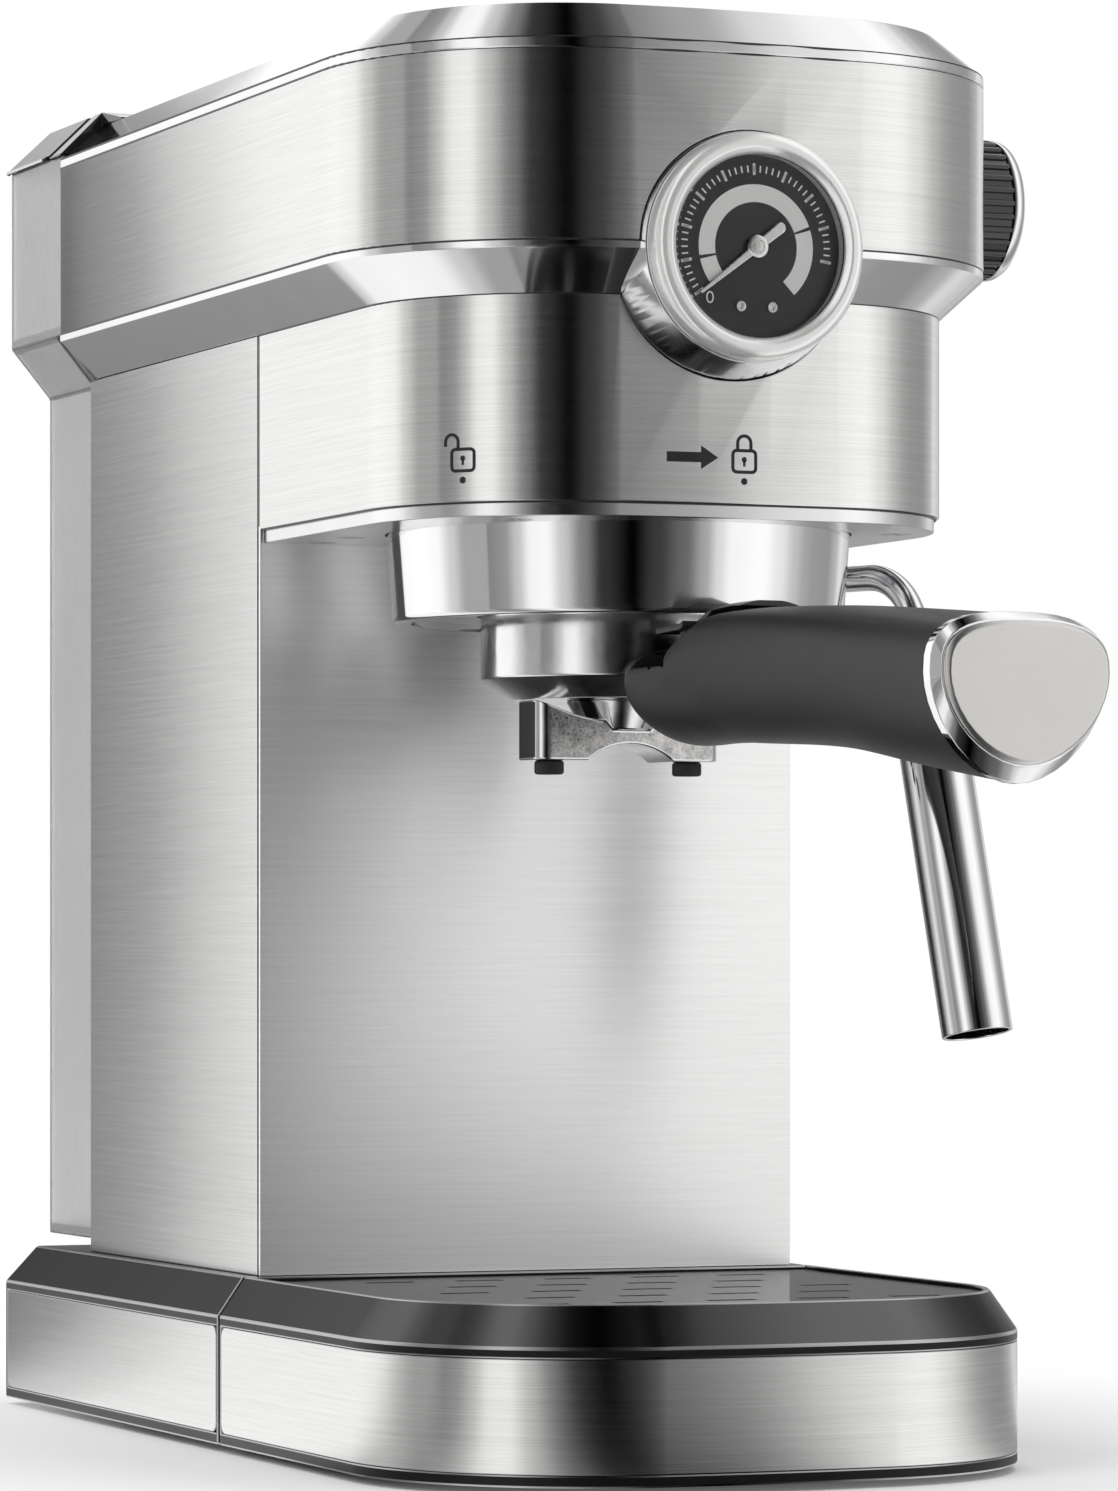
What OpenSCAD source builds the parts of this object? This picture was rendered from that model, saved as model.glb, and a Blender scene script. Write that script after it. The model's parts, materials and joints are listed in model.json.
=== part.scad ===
// Pump espresso machine: base with drip tray, slim column, round-nosed head, side tank at the back.
// Millimetres, +Z up. Origin: middle of the width, on the surface it stands on, in the plane
// of the column's front face. The front looks along -Y, the steam knob is on +X.

/* [Body] */
// Width of the base and of the head's upper part
body_w = 148; // [140:1:160]
// Radius of the rounded front corners, seen from above
corner_r = 53; // [46:1:58]
// Radius of the shallow bow between the front corners
bow_r = 300; // [240:10:400]
// Thickness of the brushed steel sheets
sheet_t = 1; // [0.8:0.1:1.5]
// Wall thickness of the plastic mouldings
wall_t = 2.4; // [2:0.1:3]

/* [Base] */
// Height of the base from its lower edge to its flat top
base_h = 36.8; // [32:0.2:44]
// Reach of the base in front of the column face
base_front = 136; // [128:1:146]
// Reach of the base behind the column face
base_back = 156; // [154:1:164]
// Height of the slanted shoulder at the top of the base
shoulder_h = 8.6; // [6:0.2:11]
// How far the slanted shoulder leans in
shoulder_in = 6; // [4:0.2:7]
// Gap between the rear base and the drip tray
split_gap = 1.2; // [0.8:0.1:2]
// Height of the brushed inlay strip
inlay_h = 23.4; // [18:0.2:24]
// Height of the inlay strip's lower edge above the base's lower edge
inlay_z = 2.6; // [2:0.1:4]
// Height of the tongue that carries the drip tray
tongue_h = 6; // [4:0.5:8]
// Half width of the tongue
tongue_half = 50; // [44:1:54]
// Height of the rubber feet
foot_h = 1.6; // [1.2:0.1:3]
// Radius of the rubber feet
foot_r = 7; // [5:0.5:9]

/* [Column] */
// Width of the column and of the head's lower part
column_w = 129; // [123:1:133]
// Depth of the column behind its front face
column_back = 118; // [114:1:118]

/* [Head] */
// Height of the head's lower edge above the base's lower edge
head_z = 201.3; // [198:0.1:215]
// Height of the lower brushed shell
lower_h = 42.7; // [38:0.1:48]
// Height of the slanted chrome band
band_h = 10.2; // [7:0.1:12]
// Height of the upper brushed shell
upper_h = 39.1; // [36:0.1:46]
// Height of the upright chrome line under the top trim
line_h = 2.1; // [1.5:0.1:3]
// Height of the slanted top trim
top_slant_h = 8.6; // [6:0.2:11]
// How far the slanted top trim leans in
top_slant_in = 10.5; // [8:0.5:13]
// Reach of the head's upper shell in front of the column face
head_front = 120; // [116:1:124]
// Reach of the head's upper shell behind the column face
head_back = 112; // [106:1:112]
// How far the cup plate lies below the trim's edge
cup_plate_drop = 1.2; // [0.8:0.1:2.5]

/* [Controls] */
// Radius of the push buttons
button_r = 9; // [7:0.5:11]
// Distance between neighbouring buttons
button_pitch = 26; // [24:0.5:30]
// Travel of a button
button_travel = 1.5; // [1:0.1:2]
// Radius of the steam knob
knob_r = 15.6; // [14:0.2:18]
// Length of the ribbed part of the steam knob
knob_len = 12.5; // [11:0.5:16]
// Distance of the knob's axis in front of the column face
knob_front = 53; // [48:1:60]
// Number of ribs round the steam knob
knob_ribs = 32; // [24:1:40]

/* [Gauge] */
// Radius of the gauge's bezel
bezel_r = 23.5; // [22.8:0.1:23.8]
// Radius of the dial that shows inside the bezel
dial_r = 18.9; // [17.5:0.1:19.5]
// How far the bezel stands in front of the head
bezel_reach = 6; // [4:0.5:8]
// Radius of the round cowling at its front, behind the bezel
cowling_r = 24; // [23.9:0.1:25]
// How far the cowling widens towards the head
cowling_flare = 2.5; // [1:0.1:3]

/* [Brew group] */
// Distance of the brew axis in front of the column face
group_front = 50.3; // [49.5:0.1:53]
// Outer radius of the chrome collar at its top
collar_r = 50.3; // [49.5:0.1:51]
// Height of the chrome collar
collar_h = 22.9; // [22.1:0.1:24.3]
// Inner radius of the bayonet ring
bayonet_r = 34.4; // [34:0.1:36]
// Outer radius of the filter holder's ring
holder_r = 29.8; // [28.6:0.1:30]
// Height of the filter holder's ring that shows below the collar
holder_drop = 12.1; // [11:0.1:14]
// Depth of the filter basket
basket_h = 20; // [16:0.5:21]
// Length from the brew axis to the end of the handle
handle_len = 167.5; // [150:0.5:180]
// Half width of the handle at its end
handle_half = 20.1; // [18:0.1:21]
// Angle of the handle from straight ahead when it is locked
handle_angle = 5; // [0:1:12]
// Length of the twin spout
spout_len = 44.6; // [42:0.2:48]
// Width of the twin spout
spout_w = 12; // [11:0.2:14]

/* [Steam wand] */
// Outer radius of the wand's steel sleeve
sleeve_r = 7.75; // [7:0.05:8.4]
// Length of the wand's steel sleeve
sleeve_len = 86; // [76:1:92]
// Radius of the steam pipe
pipe_r = 2.85; // [2.5:0.05:3]
// Lean of the wand from upright
wand_lean = 12; // [10:0.2:16]

/* [Water tank] */
// Thickness of the tank's wall
tank_t = 2; // [1.6:0.1:2.6]
// Height of the tank's lower end above the base
tank_gap = 3; // [2:0.2:5]
// How far the tank's back stays in front of the base's back edge
tank_back_in = 1; // [0:0.5:3]

/* [Hidden] */
$fn = 64;
eps = 0.01;        // overshoot of a cut past a face
gap = 0.3;         // clearance between pieces that move apart
shaft_gap = 0.05;  // radial running clearance of a shaft in its bore
arc_step = 4;      // angle between the corners of a rounded outline

// Heights
z0 = foot_h;
z_rim = z0 + base_h;
z_shoulder = z_rim - shoulder_h;
z_head = z0 + head_z;
z_band = z_head + lower_h;
z_upper = z_band + band_h;
z_line = z_upper + upper_h;
z_slant = z_line + line_h;
z_top = z_slant + top_slant_h;
z_cup = z_top - cup_plate_drop;

// Plan sizes
half_w = body_w / 2;
col_half = column_w / 2;
step_in = half_w - col_half;   // how far the lower head is set in from the upper
lower_front = head_front - step_in;
panel_gap = 0.2;               // visible seam beside a sheet

function arc_pts(cx, cy, r, a0, a1) = let(n = max(2, ceil((a1 - a0) / arc_step)))
  [for (i = [0:n]) let(a = a0 + (a1 - a0) * i / n) [cx + r * cos(a), cy + r * sin(a)]];

ahead = 270;                   // direction of -Y

// Outline with straight sides, round front corners and a shallow bow between them
function nose_pts(w, front, back, r, bow) = let(
    lift = bow - sqrt(pow(bow - r, 2) - pow(w - r, 2)),
    yc = lift - front,
    a = asin((w - r) / (bow - r)),
    side = arc_pts(r - w, yc, r, 180, ahead - a),
    nose = arc_pts(0, bow - front, bow, ahead - a, ahead + a),
    other = arc_pts(w - r, yc, r, ahead + a, 360))
  concat([[-w, back]], side, [for (i = [1:len(nose) - 2]) nose[i]], other, [[w, back]]);

// The body's outline, set in all round the front by inset
module nose(inset, front, back)
  polygon(nose_pts(half_w - inset, front - inset, back, corner_r - inset, bow_r - inset));

module nose_slab(inset, front, back, z, h)
  translate([0, 0, z]) linear_extrude(h) nose(inset, front, back);

// Rectangle with its two back corners rounded
module back_round(w, y0, y1, r)
  polygon(concat([[-w, y0], [w, y0]], arc_pts(w - r, y1 - r, r, 0, 90), arc_pts(r - w, y1 - r, r, 90, 180)));

module back_slab(w, y0, y1, r, z, h)
  translate([0, 0, z]) linear_extrude(h) back_round(w, y0, y1, r);

// Block centred in X, from y0 to y1 and from z to z + h
module block(w, y0, y1, z, h) translate([-w / 2, y0, z]) cube([w, y1 - y0, h]);

// Round bar along a list of corners, with ball joints at the corners
module bar_path(p, r) {
  for (i = [0:len(p) - 2]) let(d = p[i + 1] - p[i], n = norm(d))
    translate(p[i]) rotate([0, acos(d[2] / n), atan2(d[1], d[0])]) cylinder(h = n, r = r, $fn = 24);
  for (i = [1:len(p) - 2]) translate(p[i]) sphere(r = r, $fn = 24);
}

// ---------------------------------------------------------------- base
inlay_t = 0.8;                 // thickness of the inlay strips
base_corner = 2;               // radius of the base's back corners
boss_r = 4.5;
boss_x = half_w - 16;
boss_y = [20, base_back - 16];
screw_r = 1.45;
screw_head_r = 3;
screw_head_h = 1.4;
screw_len = 9;
plate_t = 2.6;                 // bottom plate
roof_t = 3;                    // top wall of the rear base
seat_y = (column_back + base_back) / 2 - 1;   // middle of the water seat
seat_r = 11;
gland_x = -40;
gland_z = z0 + 14;
gland_r = 6;
tongue_front = base_front - 24;
y_split = split_gap / 2;

module base_outer() {
  back_slab(half_w, y_split, base_back, base_corner, z0, base_h - shoulder_h);
  hull() {
    back_slab(half_w, y_split, base_back, base_corner, z_shoulder - eps, eps);
    back_slab(half_w - shoulder_in, y_split, base_back - shoulder_in, base_corner, z_rim - eps, eps);
  }
}

module inlay_side(side, t)
  translate([side * (half_w - t / 2), 0, z0 + inlay_z])
    translate([-t / 2, y_split + 1, 0]) cube([t, base_back - base_corner - y_split - 2, inlay_h]);

module tongue_plan()
  polygon(nose_pts(tongue_half, tongue_front, y_split + wall_t, corner_r - 24, bow_r - 24));

module base_housing() color("#202124") {
  difference() {
    union() {
      base_outer();
      translate([0, 0, z0]) linear_extrude(tongue_h) tongue_plan();
    }
    // hollow from below, in the rear part
    difference() {
      block(body_w - 2 * (wall_t + shoulder_in), y_split + wall_t, base_back - wall_t - shoulder_in,
        z0 - eps, base_h - roof_t);
      for (s = [-1, 1], y = boss_y) translate([s * boss_x, y, z0]) cylinder(h = base_h, r = boss_r);
    }
    block(body_w - 2 * wall_t, y_split + wall_t, base_back - wall_t, z0 - eps, plate_t + eps);
    for (s = [-1, 1], y = boss_y) translate([s * boss_x, y, z0 + plate_t])
      cylinder(h = screw_len, r = screw_r + shaft_gap);
    for (s = [-1, 1]) inlay_side(s, inlay_t);
    // way for the pipes and wires into the column, and the water seat
    block(60, 16, column_back - 20, z_rim - roof_t - eps, roof_t + 1);
    translate([0, seat_y, z_rim - roof_t - 1]) cylinder(h = roof_t + 2, r = seat_r);
    translate([gland_x, base_back + 1, gland_z]) rotate([90, 0, 0])
      cylinder(h = wall_t + shoulder_in + 3, r = gland_r);
  }
}

module base_side_panels() color("#c9c9c7") {
  for (s = [-1, 1]) inlay_side(s, inlay_t);
}

module bottom_plate() color("#26272a") difference() {
  block(body_w - 2 * wall_t - 2 * panel_gap, y_split + wall_t + panel_gap, base_back - wall_t - panel_gap,
    z0, plate_t);
  for (s = [-1, 1], y = boss_y) translate([s * boss_x, y, z0 - eps]) {
    cylinder(h = plate_t + 1, r = screw_r + shaft_gap);
    cylinder(h = screw_head_h + eps, r = screw_head_r + shaft_gap);
  }
}

// Cross-head screw with its head's outer face at the origin, shank along +Z
module cross_screw(len) difference() {
  union() {
    cylinder(h = screw_head_h, r = screw_head_r, $fn = 32);
    cylinder(h = len, r = screw_r, $fn = 32);
  }
  for (a = [0, 90]) rotate([0, 0, a]) translate([-1.7, -0.35, -eps]) cube([3.4, 0.7, 0.8]);
}

underside_screws = [[-52, -24], [53, -78], [-40, -90], [-52, -6]];
dial_screw_a = 16;             // angle of the dial's screws from straight down
dial_screw_r = 0.68 * dial_r;

module cross_screws() color("#b8b8b8") {
  for (s = [-1, 1], y = boss_y) translate([s * boss_x, y, z0]) cross_screw(plate_t + screw_len - 0.5);
  for (p = underside_screws) translate([p[0], p[1], z_face]) cross_screw(z_under - z_face + under_t + 5);
  for (s = [-1, 1]) translate([0, y_dial, z_gauge]) rotate([-90, 0, 0]) rotate([0, 0, s * dial_screw_a])
    translate([0, dial_screw_r, -0.6]) scale(0.36) cross_screw(8);
}

foot_spots = [[-40, 24 - tongue_front], [40, 24 - tongue_front], [-52, base_back - 34], [52, base_back - 34]];

module rubber_feet() color("#1b1b1b") {
  for (p = foot_spots) translate([p[0], p[1], 0]) cylinder(h = foot_h, r = foot_r, $fn = 48);
}

gland_hole_r = 3.6;

module cord_gland() color("#191919") difference() {
  translate([gland_x, base_back + 1.2, gland_z]) rotate([90, 0, 0]) {
    cylinder(h = 1.2, r = gland_r + 1.5);
    cylinder(h = wall_t + shoulder_in + 1.2, r = gland_r - shaft_gap);
  }
  translate([gland_x, base_back + 2, gland_z]) rotate([90, 0, 0]) cylinder(h = 30, r = gland_hole_r);
}

// ---------------------------------------------------------------- column
front_t = 1.2;                 // column front panel
col_z_top = z_band;

module column_shell() color("#c4c4c2") difference() {
  block(column_w, panel_gap + front_t, column_back, z_rim, col_z_top - z_rim);
  block(column_w - 2 * sheet_t, 0, column_back - sheet_t, z_rim - 1, col_z_top - z_rim + 2);
}

module column_front_panel() color("#bdbdbb")
  block(column_w - 0.6, 0, front_t, z_rim, z_under - z_rim);

frame_y = column_back - sheet_t - 4;
shelf_z = z_head + 2;
pump_y = 62;
pump_r = 22;
pump_z = z_rim + 34;
pump_h = 84;

module column_frame() color("#3a3b3d") {
  difference() {
    union() {
      block(column_w - 2 * sheet_t - 0.4, frame_y, column_back - sheet_t - 0.2, z_rim, z_band - 1 - z_rim);
      block(column_w - 2 * sheet_t - 0.4, front_t + panel_gap + 0.1, frame_y + 1, shelf_z, 3);
      // pump cradle
      block(30, pump_y, frame_y + 1, pump_z + 16, 8);
      block(30, pump_y, frame_y + 1, pump_z + pump_h - 24, 8);
      for (s = [-1, 1]) translate([s * (col_half - sheet_t - 4.5) - 3, front_t + 0.5, z_rim])
        cube([6, column_back - sheet_t - front_t - 1, 12]);
    }
    translate([0, pump_y, pump_z - 1]) cylinder(h = pump_h + 2, r = pump_r);
    block(70, 12, frame_y - 12, shelf_z - 1, 5);
  }
}

module water_pump() color("#8f8f8a") {
  translate([0, pump_y, pump_z]) {
    cylinder(h = pump_h, r = pump_r - shaft_gap);
    translate([0, 0, -14]) cylinder(h = 14, r = 7);
    translate([0, 0, pump_h]) cylinder(h = 16, r = 6);
  }
}

// ---------------------------------------------------------------- head
under_t = 2;                   // underside plate
under_in = 0.8;                // how far it lies above the shell's edge
under_drop = 3;                // how far its rim hangs below the shell's edge
z_under = z_head + under_in;
z_face = z_head - under_drop;  // the rim's lower face
group_y = -group_front;
z_gauge = z_band + 9.4;
knob_y = -knob_front;
z_knob = z_upper + 18.1;
spindle_r = 3;

// Moves to the gauge's axis, looking out of the front
module at_gauge(y) translate([0, y, z_gauge]) rotate([90, 0, 0]) children();

cowling_front = -head_front - 0.6;
cowling_in = 24;               // how deep the cowling reaches into the head
cowling_back = cowling_in - head_front;
flare_y = -lower_front;        // where the cowling is at its widest

// Round body that widens towards the head, from its back to its front and reach beyond
module cowling_body(grow, reach) at_gauge(cowling_back) rotate_extrude($fn = 96)
  let(front = cowling_back - cowling_front, wide = cowling_r + cowling_flare)
    polygon([[0, -eps], [wide + grow, -eps], [wide + grow, cowling_back - flare_y],
      [cowling_r + grow, front], [cowling_r + grow, front + reach], [0, front + reach]]);

module gauge_cut() cowling_body(0.1, 40);

module head_lower_shell() color("#c6c6c4") difference() {
  nose_slab(step_in, head_front, 0, z_head, lower_h);
  nose_slab(step_in + sheet_t, head_front, 1, z_head - 1, lower_h + 2);
  gauge_cut();
}

module head_underside_plate() color("#b4b4b3") difference() {
  nose_slab(step_in + sheet_t + 0.1, head_front, -0.1, z_face, z_under + under_t - z_face);
  translate([0, group_y, z_face - 1]) {
    cylinder(h = 20, r = group_r + 0.1, $fn = 96);
    cylinder(h = z_under - z_face + 1, r = collar_r + 0.1, $fn = 128);
  }
  // open behind the collar
  block(30, -8, 1, z_face - 1, z_under - z_face + 1);
  for (p = underside_screws) translate([p[0], p[1], z_face - eps]) {
    cylinder(h = 20, r = screw_r + shaft_gap);
    cylinder(h = screw_head_h + eps, r = screw_head_r + shaft_gap);
  }
  // recess round the wand's nut
  translate([wand_x, wand_y, z_face - 1]) {
    cylinder(h = 20, r = nut_r + 0.1);
    cylinder(h = z_under - z_face + 1, r = nut_flange_r + 0.3);
  }
}

// Slanted ring between two nested outlines
module slant_solid(in0, in1, front, back, z, h) hull() {
  nose_slab(in0, front, back, z, eps);
  nose_slab(in1, front, back, z + h - eps, eps);
}

module head_band() color("#9c9da0") difference() {
  slant_solid(step_in, 0, head_front, head_back, z_band, band_h);
  slant_solid(step_in + wall_t, wall_t, head_front, head_back + 1, z_band - eps, band_h + 2 * eps);
  gauge_cut();
}

module head_upper_shell() color("#c6c6c4") difference() {
  nose_slab(0, head_front, head_back, z_upper, upper_h);
  nose_slab(sheet_t, head_front, head_back + 1, z_upper - 1, upper_h + 2);
  gauge_cut();
  translate([half_w - 3, knob_y, z_knob]) rotate([0, 90, 0]) cylinder(h = 6, r = spindle_r + 1);
}

back_t = 2.4;

module head_back_panel() color("#232427") {
  block(body_w - 2 * sheet_t - 0.4, head_back - back_t, head_back, z_upper, upper_h - 0.2);
  block(2 * (col_half - wall_t) - 1, head_back - back_t, head_back, z_band + 0.2, band_h);
}

trim_t = 2.4;
top_plate_t = 2.6;             // cup plate and control panel
z_seat = z_cup - top_plate_t;  // ledge that carries them
z_ledge = z_seat - 1.6;
ledge_w = 2.6;

module head_top_trim() color("#8f9094") difference() {
  union() {
    nose_slab(0, head_front, head_back, z_line, line_h);
    slant_solid(0, top_slant_in, head_front, head_back, z_slant - eps, top_slant_h + eps);
  }
  nose_slab(trim_t, head_front, head_back - trim_t, z_line - 1, line_h + 1 + eps);
  slant_solid(trim_t, trim_t + top_slant_in * (z_ledge - z_slant) / top_slant_h, head_front,
    head_back - trim_t, z_slant, z_ledge - z_slant);
  nose_slab(panel_in - 0.2, head_front, head_back - trim_t, z_seat, 20);
  nose_slab(panel_in + ledge_w, head_front, head_back - trim_t - ledge_w, z_ledge - 1, 20);
}

panel_back = -58;              // back edge of the control panel
panel_in = top_slant_in + trim_t + 0.2;
lid_lap = 11;                  // how far the tank lid's frame laps over the head

module cup_plate() color("#bfbfbd") difference() {
  intersection() {
    nose_slab(panel_in, head_front, head_back - trim_t - 0.2, z_seat, z_cup - z_seat);
    block(body_w, panel_back + 0.2, head_back, z_seat - 1, 10);
  }
  // the tank lid's frame laps over a lowered strip at the back
  block(body_w, head_back - lid_lap - 1, head_back, z_cup - 0.4, 1);
  // raised ribs are left between shallow grooves
  for (i = [0:7]) block(84, -38 + 16 * i, -33 + 16 * i, z_cup - 0.5, 1);
}

button_y = (panel_back - head_front + panel_in) / 2 - 1;
button_xs = [-button_pitch, 0, button_pitch];

module control_panel() color("#161618") difference() {
  intersection() {
    nose_slab(panel_in, head_front, head_back, z_seat, z_cup - z_seat);
    block(body_w, -head_front, panel_back, z_seat - 1, 10);
  }
  for (x = button_xs) translate([x, button_y, z_seat - 1]) cylinder(h = 10, r = button_r + gap);
}

board_t = 1.6;
z_board = z_seat - 12;
stem_r = 2.5;
skirt_r = button_r + 1.4;

module switch_board() color("#1f5a36") {
  block(2 * button_pitch + 26, button_y - 12, button_y + 12, z_board, board_t);
  for (x = button_xs) translate([x - 3, button_y - 3, z_board + board_t]) cube([6, 6, 3.6]);
  // posts up to the control panel
  for (x = [-1.5, -0.5, 0.5, 1.5]) translate([x * button_pitch, button_y, z_board + board_t - eps])
    cylinder(h = z_seat - z_board - board_t + eps, r = 2);
}

module button(x) translate([x, button_y, 0]) {
  translate([0, 0, z_seat - 3]) cylinder(h = z_cup + 1 - z_seat + 3, r = button_r);
  translate([0, 0, z_seat - 3 - eps]) cylinder(h = 2.4, r = skirt_r);
  translate([0, 0, z_board + board_t + 3.6 + button_travel + 0.2])
    cylinder(h = z_seat - 3 - z_board - board_t - 3.6 - button_travel, r = stem_r);
}

module power_button() color("#d9dadb") button(button_xs[0]);
module coffee_button() color("#d9dadb") button(button_xs[1]);
module steam_button() color("#d9dadb") button(button_xs[2]);

// ---------------------------------------------------------------- brew group
group_r = 44.5;
z_collar = z_under - collar_h;
z_group = z_collar + 1.5;      // lower face of the bayonet ring
ledge_t = 2.2;
ledge_in = holder_r + 0.8;
lug_r = bayonet_r - 0.6;
lug_t = 3;
z_lug = z_group + ledge_t + gap;
z_holder_top = z_lug + lug_t + 1;
basket_lip_t = 0.8;
z_gasket = z_holder_top + basket_lip_t + gap;
gasket_h = 5;
z_roof = z_gasket + gasket_h;
lug_span = 44;
ledge_span = 60;
holder_angle = handle_angle - 90;

module at_group() translate([0, group_y, 0]) children();

// Slice of a ring: span degrees wide, centred on +X
module ring_sector(r0, r1, h, span) rotate([0, 0, -span / 2])
  rotate_extrude(angle = span, $fn = 96) translate([r0, 0]) square([r1 - r0, h]);

collar_taper = 1.5;            // how much slimmer the collar is at its lower edge

module group_collar() color("#b9babc") difference() {
  at_group() rotate_extrude($fn = 128) let(low = collar_r - collar_taper)
    polygon([[group_r + 0.3, z_collar], [low - 0.9, z_collar], [low - 0.3, z_collar + 0.3],
      [low, z_collar + 1], [collar_r, z_under], [collar_r - 2, z_under],
      [collar_r - 2, z_collar + 2.4], [group_r + 0.3, z_collar + 2.4]]);
  // cut flat where it meets the column
  block(body_w, -panel_gap, 20, z_collar - 1, collar_h + 2);
}

module group_head() color("#8d8e90") at_group() {
  difference() {
    translate([0, 0, z_group]) cylinder(h = z_under + under_t + 3 - z_group, r = group_r, $fn = 96);
    translate([0, 0, z_group - 1]) cylinder(h = z_roof - z_group + 1, r = bayonet_r, $fn = 96);
    translate([0, 0, z_roof - 1]) cylinder(h = 40, r = 2);
  }
  for (a = [0, 120, 240]) rotate([0, 0, holder_angle + a]) translate([0, 0, z_group])
    ring_sector(ledge_in, bayonet_r + 1, ledge_t, ledge_span);
}

gasket_r = bayonet_r - 0.1;
gasket_in = holder_r - 5;

module group_gasket() color("#6e2f27") at_group() difference() {
  translate([0, 0, z_gasket]) cylinder(h = gasket_h, r = gasket_r, $fn = 96);
  translate([0, 0, z_gasket - 1]) cylinder(h = gasket_h + 2, r = gasket_in, $fn = 96);
}

screen_r = gasket_in - 0.2;
screen_t = 0.8;
z_screen = z_roof - 3.4;

module shower_screen() color("#c9c9c9") at_group() difference() {
  translate([0, 0, z_screen]) cylinder(h = z_roof - z_screen, r = screen_r);
  translate([0, 0, z_screen + screen_t]) difference() {
    cylinder(h = 10, r = screen_r - screen_t);
    cylinder(h = 10, r = 5);
  }
  translate([0, 0, z_screen - 1]) cylinder(h = 10, r = 2);
  for (ring = [1:3], k = [0:6 * ring + 3]) rotate([0, 0, 360 * k / (6 * ring + 4)])
    translate([4 + 5.5 * ring, 0, z_screen - 1]) cylinder(h = 3, r = 0.6, $fn = 13);
}

module shower_screw() color("#a8a8a8") at_group() translate([0, 0, z_screen - 1.4]) difference() {
  union() {
    cylinder(h = 1.4, r = 3.4);
    cylinder(h = 9, r = 2 - shaft_gap);
  }
  translate([0, 0, -eps]) cylinder(h = 1, r = 1.5, $fn = 6);
}

z_boiler = z_under + under_t + 3;
boiler_r = 41;
boiler_h = 34;

module boiler() color("#9a9b9d") at_group() {
  translate([0, 0, z_boiler]) {
    cylinder(h = 8, r = group_r, $fn = 96);
    cylinder(h = boiler_h - 4, r = boiler_r - 3, $fn = 96);
    translate([0, 0, boiler_h - 6]) cylinder(h = 6, r = boiler_r);
    translate([0, 0, boiler_h]) cylinder(h = 2.6, r = 26);
  }
}

z_boiler_top = z_boiler + boiler_h;

module thermostats() color("#d6d2c4") at_group() {
  for (x = [-14, 8]) translate([x, -10, z_boiler_top + 2.6]) {
    cylinder(h = 6, r = 6);
    translate([0, 0, 6]) cylinder(h = 4, r = 3);
  }
}

valve_r = 8;
valve_x0 = 44;
valve_x1 = half_w - sheet_t - 4;

module steam_valve() color("#b08d4a") translate([0, knob_y, z_knob]) {
  difference() {
    union() {
      translate([valve_x0, 0, 0]) rotate([0, 90, 0]) cylinder(h = valve_x1 - valve_x0, r = valve_r);
      // clamp plate against the shell's side
      translate([valve_x1, 0, 0]) rotate([0, 90, 0]) cylinder(h = half_w - sheet_t - valve_x1, r = 13);
    }
    translate([valve_x0 + 8, 0, 0]) rotate([0, 90, 0]) cylinder(h = 40, r = spindle_r + shaft_gap);
  }
}

wand_x = 54;
wand_y = -22;
nut_r = 6;
nut_flange_r = 7.4;
nut_h = 12;
z_nut = z_under - 1.3;

module swivel_nut() color("#b9b9ba") translate([wand_x, wand_y, 0]) difference() {
  union() {
    translate([0, 0, z_nut]) cylinder(h = nut_h, r = nut_r - 0.05);
    translate([0, 0, z_nut - 0.6]) cylinder(h = z_under - z_nut + 0.6, r = nut_flange_r);
  }
  translate([0, 0, z_nut - 1]) cylinder(h = nut_h, r = pipe_r + shaft_gap);
}

tube_r = 2;

module copper_tubes() color("#b8734a") {
  // boiler to steam valve
  bar_path([[12, group_y, z_boiler_top + 2.6], [12, group_y, z_knob], [valve_x0, group_y, z_knob]], tube_r);
  // steam valve to the wand's swivel
  bar_path([[50, knob_y + valve_r, z_knob], [50, wand_y, z_knob], [wand_x, wand_y, z_knob],
    [wand_x, wand_y, z_nut + nut_h]], tube_r);
  // boiler to gauge
  bar_path([[-4, group_y - 18, z_boiler_top + 2.6], [-4, group_y - 18, z_gauge + 12],
    [-4, cowling_back, z_gauge + 12]], tube_r);
  // pump to boiler
  bar_path([[0, pump_y, pump_z + pump_h + 16], [0, pump_y, z_boiler_top + 12],
    [0, group_y + 33, z_boiler_top + 12], [0, group_y + 33, z_boiler_top]], tube_r);
  // water seat to pump
  bar_path([[0, seat_y, z_rim - roof_t - 1], [0, seat_y, z0 + 12], [0, pump_y, z0 + 12],
    [0, pump_y, pump_z - 14]], 3);
}

// ---------------------------------------------------------------- filter holder
// Local frame of the holder: brew axis at the origin, handle along +X
module at_holder() translate([0, group_y, 0]) rotate([0, 0, holder_angle]) children();

z_holder = z_collar - holder_drop;
holder_bore = holder_r - 4.4;
cone_h = 4.6;
cone_r = holder_r - 7;
z_spout_top = z_holder - cone_h;
spout_h = 13;
z_spout = z_spout_top - spout_h;
neck_r = 4.6;
neck_end = 62;
z_neck = z_holder - 1.8;

module portafilter_body() color("#b5b6b8") at_holder() {
  difference() {
    union() {
      translate([0, 0, z_holder]) cylinder(h = z_holder_top - z_holder, r = holder_r, $fn = 96);
      translate([0, 0, z_spout_top]) cylinder(h = cone_h, r1 = cone_r, r2 = holder_r, $fn = 96);
      translate([holder_r - 3, 0, z_neck]) rotate([0, 90, 0])
        cylinder(h = neck_end - holder_r + 3, r = neck_r);
      for (a = [0, 120, 240]) rotate([0, 0, a]) translate([0, 0, z_lug])
        ring_sector(holder_r - 1, lug_r, lug_t, lug_span);
    }
    translate([0, 0, z_holder - 1]) cylinder(h = 60, r = holder_bore, $fn = 96);
    translate([0, 0, z_spout_top - 1]) cylinder(h = 20, r = 3.5);
    translate([neck_end - 22, 0, z_neck]) rotate([0, 90, 0]) cylinder(h = 30, r = bolt_r + shaft_gap);
  }
}

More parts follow.
